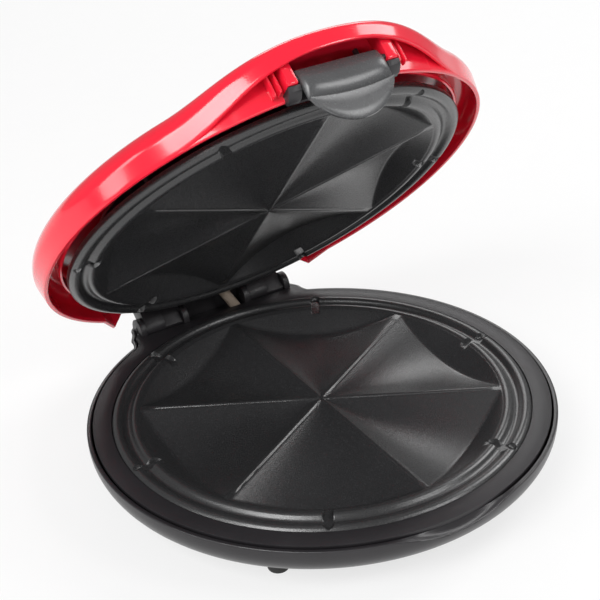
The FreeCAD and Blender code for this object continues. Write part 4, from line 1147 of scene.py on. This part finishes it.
def latch():
    """A rounded roll over a half-round flap, on a barrel for the pin."""
    columns = [LATCH_HALF * math.sin(math.radians(90 * index / 36)) for index in range(-36, 37)]
    rings = []
    for x in columns:
        end = abs(x) / LATCH_HALF
        ridge = latch_ridge(x)
        low = min(latch_lower(x), ridge - 0.5)
        swell = 3.3 * (1 - 0.5 * end ** 10)
        back = 0.8 * end ** 30
        line = []
        for index in range(17):
            step = index / 16
            out = -126.9 - 1.5 * step - 4 * step * (1 - step) * swell + back
            line.append((out, 48.9 + (ridge + 0.45 - 48.9) * step))
        line += [(-129.0, ridge + 0.35), (-129.5, ridge + 0.25), (-129.75, ridge - 0.05),
                 (-129.6, ridge - 0.4)]
        for step in (0.33, 0.66, 1):
            line.append((-129.6 + 0.16 * (ridge - low - 0.9) * step, ridge - 0.4 - (ridge - low - 0.9) * step))
        tip = line[-1][0]
        line += [(tip + 0.4, low), (tip + 1.6, low), (tip + 2.0, low + 0.4), (-127.0, ridge), (-126.6, 39.8)]
        line += [(-126.6 + 4.5 * math.sin(math.radians(a)), 44.4 - 4.5 * math.cos(math.radians(a)))
                 for a in range(15, 180, 15)]
        rings.append([Vector((x, y, z)) for y, z in line])
    points, faces = skin(rings)
    count = len(rings[0])
    faces += [tuple(range(count)), tuple(len(points) - count + index for index in range(count))]
    hook = block((-8, 8), (-127.6, -121.9), (28.6, 30.5))
    return swing(joined("latch_grip", [(points, faces), hook], "latch_grey", 0.0, sharp=40))


def latch_mount():
    """The black bracket behind the latch, whose lugs close the red cheeks from below."""
    shapes = []
    for side in (-1, 1):
        outline = [(-119.5, 41.4), (-128.4, 41.4), (-127.6, 38.6), (-123.5, 36.4), (-119.5, 36.4)]
        start, end = sorted((side * 22.9, side * 29.6))
        shapes.append(extruded(outline, "x", start, end))
    shapes.append(block((-23.3, 23.3), (-121.5, -119.5), (36.4, 50)))
    shapes.append(block((-23.3, 23.3), (-121.0, -117.2), (48, 50)))
    return swing(joined("latch_bracket", shapes, "black_satin", 0.4))


def lead_sleeve():
    """The braided sleeve between the deck and the lid, a tube along its route."""
    run, rise, bend, low = 12.0, 20.0, 6.0, 30.0
    lean = math.atan2(run, rise)
    step = bend * math.tan(lean / 2)
    route = [(0, 25), (0, low - step)]
    for index in range(1, 9):
        angle = lean * index / 8
        route.append((-bend * (1 - math.cos(angle)), low - step + bend * math.sin(angle)))
    upper = []
    for index in range(9):
        angle = lean * (1 - index / 8)
        upper.append((-run + bend * (1 - math.cos(angle)), low + rise + step - bend * math.sin(angle)))
    route += upper + [(-run, 56)]
    turn = math.radians(-23)
    rings = []
    lengths = [0.0]
    for first, second in zip(route, route[1:]):
        lengths.append(lengths[-1] + math.dist(first, second))
    for index, (across, height) in enumerate(route):
        before = route[max(index - 1, 0)]
        after = route[min(index + 1, len(route) - 1)]
        along = Vector((after[0] - before[0], 0, after[1] - before[1])).normalized()
        side = Vector((0, 1, 0))
        normal = side.cross(along)
        ring = []
        for column in range(20):
            angle = math.tau * column / 20
            point = Vector((across, 0, height)) + (side * math.cos(angle) + normal * math.sin(angle)) * 3.1
            point.rotate(Matrix.Rotation(turn, 3, "Z"))
            ring.append(point + Vector((14.5, 119.6, 0)))
        rings.append(ring)
    points, faces = skin(rings)
    faces += [tuple(range(20)), tuple(len(points) - 20 + index for index in range(20))]
    piece = make_object("braided_sleeve", points, faces, "woven_sleeve", 60)
    layer = piece.data.uv_layers.new(name="along")
    for face in piece.data.polygons:
        for corner, vertex in zip(face.loop_indices, face.vertices):
            row, column = divmod(vertex, 20)
            wrapped = 20 if column == 0 and any(v % 20 == 19 for v in face.vertices) else column
            layer.data[corner].uv = (wrapped / 20 * 3.2, lengths[min(row, len(lengths) - 1)] / 5.1)
    return piece


def rubber_feet():
    """Four feet with a rounded lower edge, repeated round the middle."""
    profile = [(0, 0.35), (4.4, 0.35), (4.9, 0), (5.2, 0.1), (5.45, 0.6), (5.5, 1.2), (5.5, 8.2), (0, 8.2)]
    foot = spun("feet", profile, "rubber", 40)
    foot.data.transform(Matrix.Translation(circle_point(98, 45, 0) * MM))
    tree, names = copies_round("Feet round the middle", 4)
    return run_tree(foot, tree, names, {"Count": 4, "Seam": 0.0, "Material": materials["rubber"]})


def screw_heads(name, places, tilt, head):
    """Screw heads on a list of places in millimetres, closed-lid places being swung first."""
    mesh = bpy.data.meshes.new(name)
    mesh.from_pydata([tuple(Vector(place) * MM) for place in places], [], [])
    piece = bpy.data.objects.new(name, mesh)
    bpy.context.scene.collection.objects.link(piece)
    if tilt:
        swing(piece)
    tree, names = screws_on_points()
    values = {"Head radius": head, "Head height": 0.0015, "Slot width": 0.0007,
              "Tilt": -tilt, "Material": materials["zinc"]}
    return run_tree(piece, tree, names, values)


# Operators: one for each piece or group of like pieces

class MAKER_OT_materials(bpy.types.Operator):
    """Make the finishes and give the small solids theirs"""
    bl_idname = "maker.materials"
    bl_label = "Finishes"

    def execute(self, context):
        make_materials(context.scene.maker_colours)
        finishes = {
            "zinc": ("base_screws", "clamp_screws_lower", "clamp_screws_upper", "shield_screws_lower",
                     "shield_screws_upper", "plate_screws_lower", "plate_screws_upper", "thermal_fuse",
                     "hinge_pins", "lid_frame_screws", "carrier_screws"),
            "sheet": ("element_clamps_lower", "element_clamps_upper", "heat_shield_lower",
                      "heat_shield_upper", "thermostat", "fuse_clip"),
            "heater": ("heating_element_lower", "heating_element_upper"),
            "ceramic": ("element_ends_lower", "element_ends_upper", "terminal_block"),
            "tinted_lens": ("indicator_lenses", "neon_lamps"),
            "black_satin": ("cord_gland", "base_frame", "lid_hinge_carrier", "latch_mount",
                            "latch_mount_screws", "latch_pin"),
            "black_gloss": ("base_shell",),
            "red_gloss": ("lid_shell", "lid_frame"),
            "coating": ("cooking_plate_lower", "cooking_plate_upper"),
            "rubber": ("rubber_feet",),
            "latch_grey": ("latch",),
            "woven_sleeve": ("lead_sleeve",),
        }
        for finish, nodes in finishes.items():
            for node in nodes:
                solid = frame["nodes"][node]
                solid.data.materials.clear()
                solid.data.materials.append(materials[finish])
        return {"FINISHED"}


class MAKER_OT_plates(bpy.types.Operator):
    """Make both cooking plates"""
    bl_idname = "maker.plates"
    bl_label = "Cooking plates"

    def execute(self, context):
        dip = context.scene.maker_sizes.pocket_dip
        lower = cooking_plate("plate_lower", dip)
        lower.data.transform(Matrix.Translation((0, 0, 35 * MM)))
        settle(lower, "base", "non_stick", "cooking_plate_lower")
        upper = cooking_plate("plate_upper", dip)
        over = Matrix.Translation((0, 0, 36 * MM)) @ Matrix.Rotation(math.pi, 4, "Y")
        upper.data.transform(over)
        settle(swing(upper), "lid", "non_stick", "cooking_plate_upper")
        return {"FINISHED"}


class MAKER_OT_base(bpy.types.Operator):
    """Make the base bowl, the ring round its plate and the rear deck"""
    bl_idname = "maker.base"
    bl_label = "Base"

    def execute(self, context):
        settle(base_shell(), "base", "black_shell", "base_shell")
        settle(screw_posts(), "base", "black_shell")
        settle(base_frame(), "base", "black_shell", "base_frame")
        settle(ring_collar(), "base", "black_shell")
        return {"FINISHED"}


class MAKER_OT_lid(bpy.types.Operator):
    """Make the lid with its handle, brackets and inner ring"""
    bl_idname = "maker.lid"
    bl_label = "Lid"

    def execute(self, context):
        sizes = context.scene.maker_sizes
        settle(lid_shell(sizes), "lid", "red_lid", "lid_shell")
        settle(lid_inside(sizes), "lid", "red_lid")
        settle(lid_frame(), "lid", "red_lid", "lid_frame")
        settle(lid_frame_lugs(), "lid", "red_lid")
        return {"FINISHED"}


class MAKER_OT_hinges(bpy.types.Operator):
    """Make the hinge carrier and the braided sleeve beside it"""
    bl_idname = "maker.hinges"
    bl_label = "Hinges"

    def execute(self, context):
        settle(hinge_carrier(), "lid", "black_trim", "lid_hinge_carrier")
        sleeve = lead_sleeve()
        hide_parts("lead_sleeve")
        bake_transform(sleeve)
        return {"FINISHED"}


class MAKER_OT_latch(bpy.types.Operator):
    """Make the latch and its mount"""
    bl_idname = "maker.latch"
    bl_label = "Latch"

    def execute(self, context):
        settle(latch(), "latch", "grey_latch", "latch")
        settle(latch_mount(), "lid", "black_trim", "latch_mount")
        return {"FINISHED"}


class MAKER_OT_small_parts(bpy.types.Operator):
    """Make the feet and the screw heads that show"""
    bl_idname = "maker.small_parts"
    bl_label = "Feet and screws"

    def execute(self, context):
        head = context.scene.maker_sizes.screw_head
        tilt = math.radians(open_angle)
        settle(rubber_feet(), "base", "foot_rubber", "rubber_feet")
        posts = [place + Vector((0, 0, 15.25)) for place in POSTS]
        settle(screw_heads("base_screw_heads", posts, 0.0, head), "base", "zinc", "base_screws")
        rings = [circle_point(117.5, degrees, 49.25) for degrees in (0, 45, 135, 180, 225, 315)]
        settle(screw_heads("lid_screw_heads", rings, tilt, head), "lid", "zinc", "lid_frame_screws")
        return {"FINISHED"}


class MAKER_OT_stage(bpy.types.Operator):
    """Make the floor, the soft lights and the camera"""
    bl_idname = "maker.stage"
    bl_label = "Stage"

    def execute(self, context):
        make_floor()
        make_lights()
        make_camera()
        return {"FINISHED"}


# Stage

def make_floor():
    points, faces = block((-4000, 4000), (-4000, 4000), (-10, 0))
    finish = Finish("floor_paper")
    grain = finish.noise(finish.place(), 40.0, 2.0)
    finish.set(Base_Color=finish.mix(grain, (0.86, 0.86, 0.86, 1), (0.9, 0.9, 0.9, 1)), Roughness=0.9)
    path = finish.add("ShaderNodeLightPath")
    seen = path.math("MAXIMUM", Wire(finish, path.socket.node.outputs["Is Glossy Ray"]))
    white = finish.tree.nodes.new("ShaderNodeEmission")
    white.inputs["Strength"].default_value = 1.0
    blend = finish.tree.nodes.new("ShaderNodeMixShader")
    finish.feed(blend.inputs[0], seen * 0.72)
    finish.tree.links.new(finish.shader.outputs[0], blend.inputs[1])
    finish.tree.links.new(white.outputs[0], blend.inputs[2])
    output = finish.tree.nodes["Material Output"]
    finish.tree.links.new(blend.outputs[0], output.inputs["Surface"])
    materials["floor_paper"] = finish.material
    floor = make_object("floor", points, faces, "floor_paper")


def make_lights():
    world = bpy.data.worlds.new("studio")
    bpy.context.scene.world = world
    world.use_nodes = True
    tree = world.node_tree
    back = tree.nodes["Background"]
    back.inputs["Color"].default_value = (1, 1, 1, 1)
    back.inputs["Strength"].default_value = 0.3
    seen = tree.nodes.new("ShaderNodeBackground")
    seen.inputs["Color"].default_value = (1, 1, 1, 1)
    path = tree.nodes.new("ShaderNodeLightPath")
    blend = tree.nodes.new("ShaderNodeMixShader")
    tree.links.new(path.outputs["Is Camera Ray"], blend.inputs[0])
    tree.links.new(back.outputs[0], blend.inputs[1])
    tree.links.new(seen.outputs[0], blend.inputs[2])
    tree.links.new(blend.outputs[0], tree.nodes["World Output"].inputs["Surface"])
    middle = Vector((0, 0, 0.09))
    for name, place, size, watts in (
            ("key", (0.76, -1.16, 1.12), (0.5, 0.45), 6.0),
            ("right", (1.3, -0.05, 1.15), (0.7, 0.7), 9.0),
            ("left_strip", (-1.6, 0.03, 0.62), (0.3, 0.8), 4.0),
            ("left_soft", (-1.15, -0.62, 1.3), (0.85, 0.75), 20.0),
            ("back", (0.8, 1.4, 1.0), (1.2, 0.6), 7.0),
            ("front", (-0.6, -1.7, 0.6), (1.4, 0.5), 5.0)):
        lamp = bpy.data.lights.new(name, "AREA")
        lamp.shape = "RECTANGLE"
        lamp.size, lamp.size_y = size
        lamp.energy = watts
        holder = bpy.data.objects.new(name, lamp)
        bpy.context.scene.collection.objects.link(holder)
        holder.location = place
        holder.rotation_euler = (middle - Vector(place)).to_track_quat("-Z", "Y").to_euler()


def make_camera():
    """A long lens from the front left, at the height and roll of the picture."""
    azimuth, elevation, roll = math.radians(-29.38), math.radians(29.35), math.radians(-3.61)
    back = Vector((math.sin(azimuth) * math.cos(elevation), -math.cos(azimuth) * math.cos(elevation),
                   math.sin(elevation)))
    right = (-back).cross(Vector((0, 0, 1))).normalized()
    up = right.cross(-back)
    place = right * -7.79 + up * 52.41 + back * 749.6 + Vector((0, 0, 35))
    across = right * math.cos(roll) + up * math.sin(roll)
    upward = up * math.cos(roll) - right * math.sin(roll)
    lens = bpy.data.cameras.new("camera")
    lens.lens = 84.19
    lens.sensor_width = 36
    lens.clip_start = 0.01
    camera = bpy.data.objects.new("camera", lens)
    bpy.context.scene.collection.objects.link(camera)
    turn = Matrix((across, upward, back)).transposed().to_4x4()
    camera.matrix_world = Matrix.Translation(place * MM) @ turn
    bpy.context.scene.camera = camera


class MAKER_PT_panel(bpy.types.Panel):
    bl_idname = "MAKER_PT_panel"
    bl_label = "Quesadilla Maker"
    bl_space_type = "VIEW_3D"
    bl_region_type = "UI"
    bl_category = "Quesadilla Maker"

    def draw(self, context):
        layout = self.layout
        for settings in (context.scene.maker_sizes, context.scene.maker_colours):
            for name in settings.__annotations__:
                layout.prop(settings, name)
        for operator in OPERATORS:
            layout.operator(operator.bl_idname)


OPERATORS = (MAKER_OT_stage, MAKER_OT_materials, MAKER_OT_plates, MAKER_OT_base, MAKER_OT_lid,
             MAKER_OT_hinges, MAKER_OT_latch, MAKER_OT_small_parts)
CLASSES = (MakerSizes, MakerColours) + OPERATORS + (MAKER_PT_panel,)


def register():
    for item in CLASSES:
        bpy.utils.register_class(item)
    bpy.types.Scene.maker_sizes = bpy.props.PointerProperty(type=MakerSizes)
    bpy.types.Scene.maker_colours = bpy.props.PointerProperty(type=MakerColours)


def unregister():
    del bpy.types.Scene.maker_colours
    del bpy.types.Scene.maker_sizes
    for item in reversed(CLASSES):
        bpy.utils.unregister_class(item)


def main():
    register()
    bpy.context.scene.view_settings.view_transform = "Standard"
    bpy.ops.maker.stage()
    bpy.ops.maker.materials()
    bpy.ops.maker.plates()
    bpy.ops.maker.base()
    bpy.ops.maker.lid()
    bpy.ops.maker.hinges()
    bpy.ops.maker.latch()
    bpy.ops.maker.small_parts()
    bpy.context.view_layer.update()


if __name__ == "__main__":
    main()
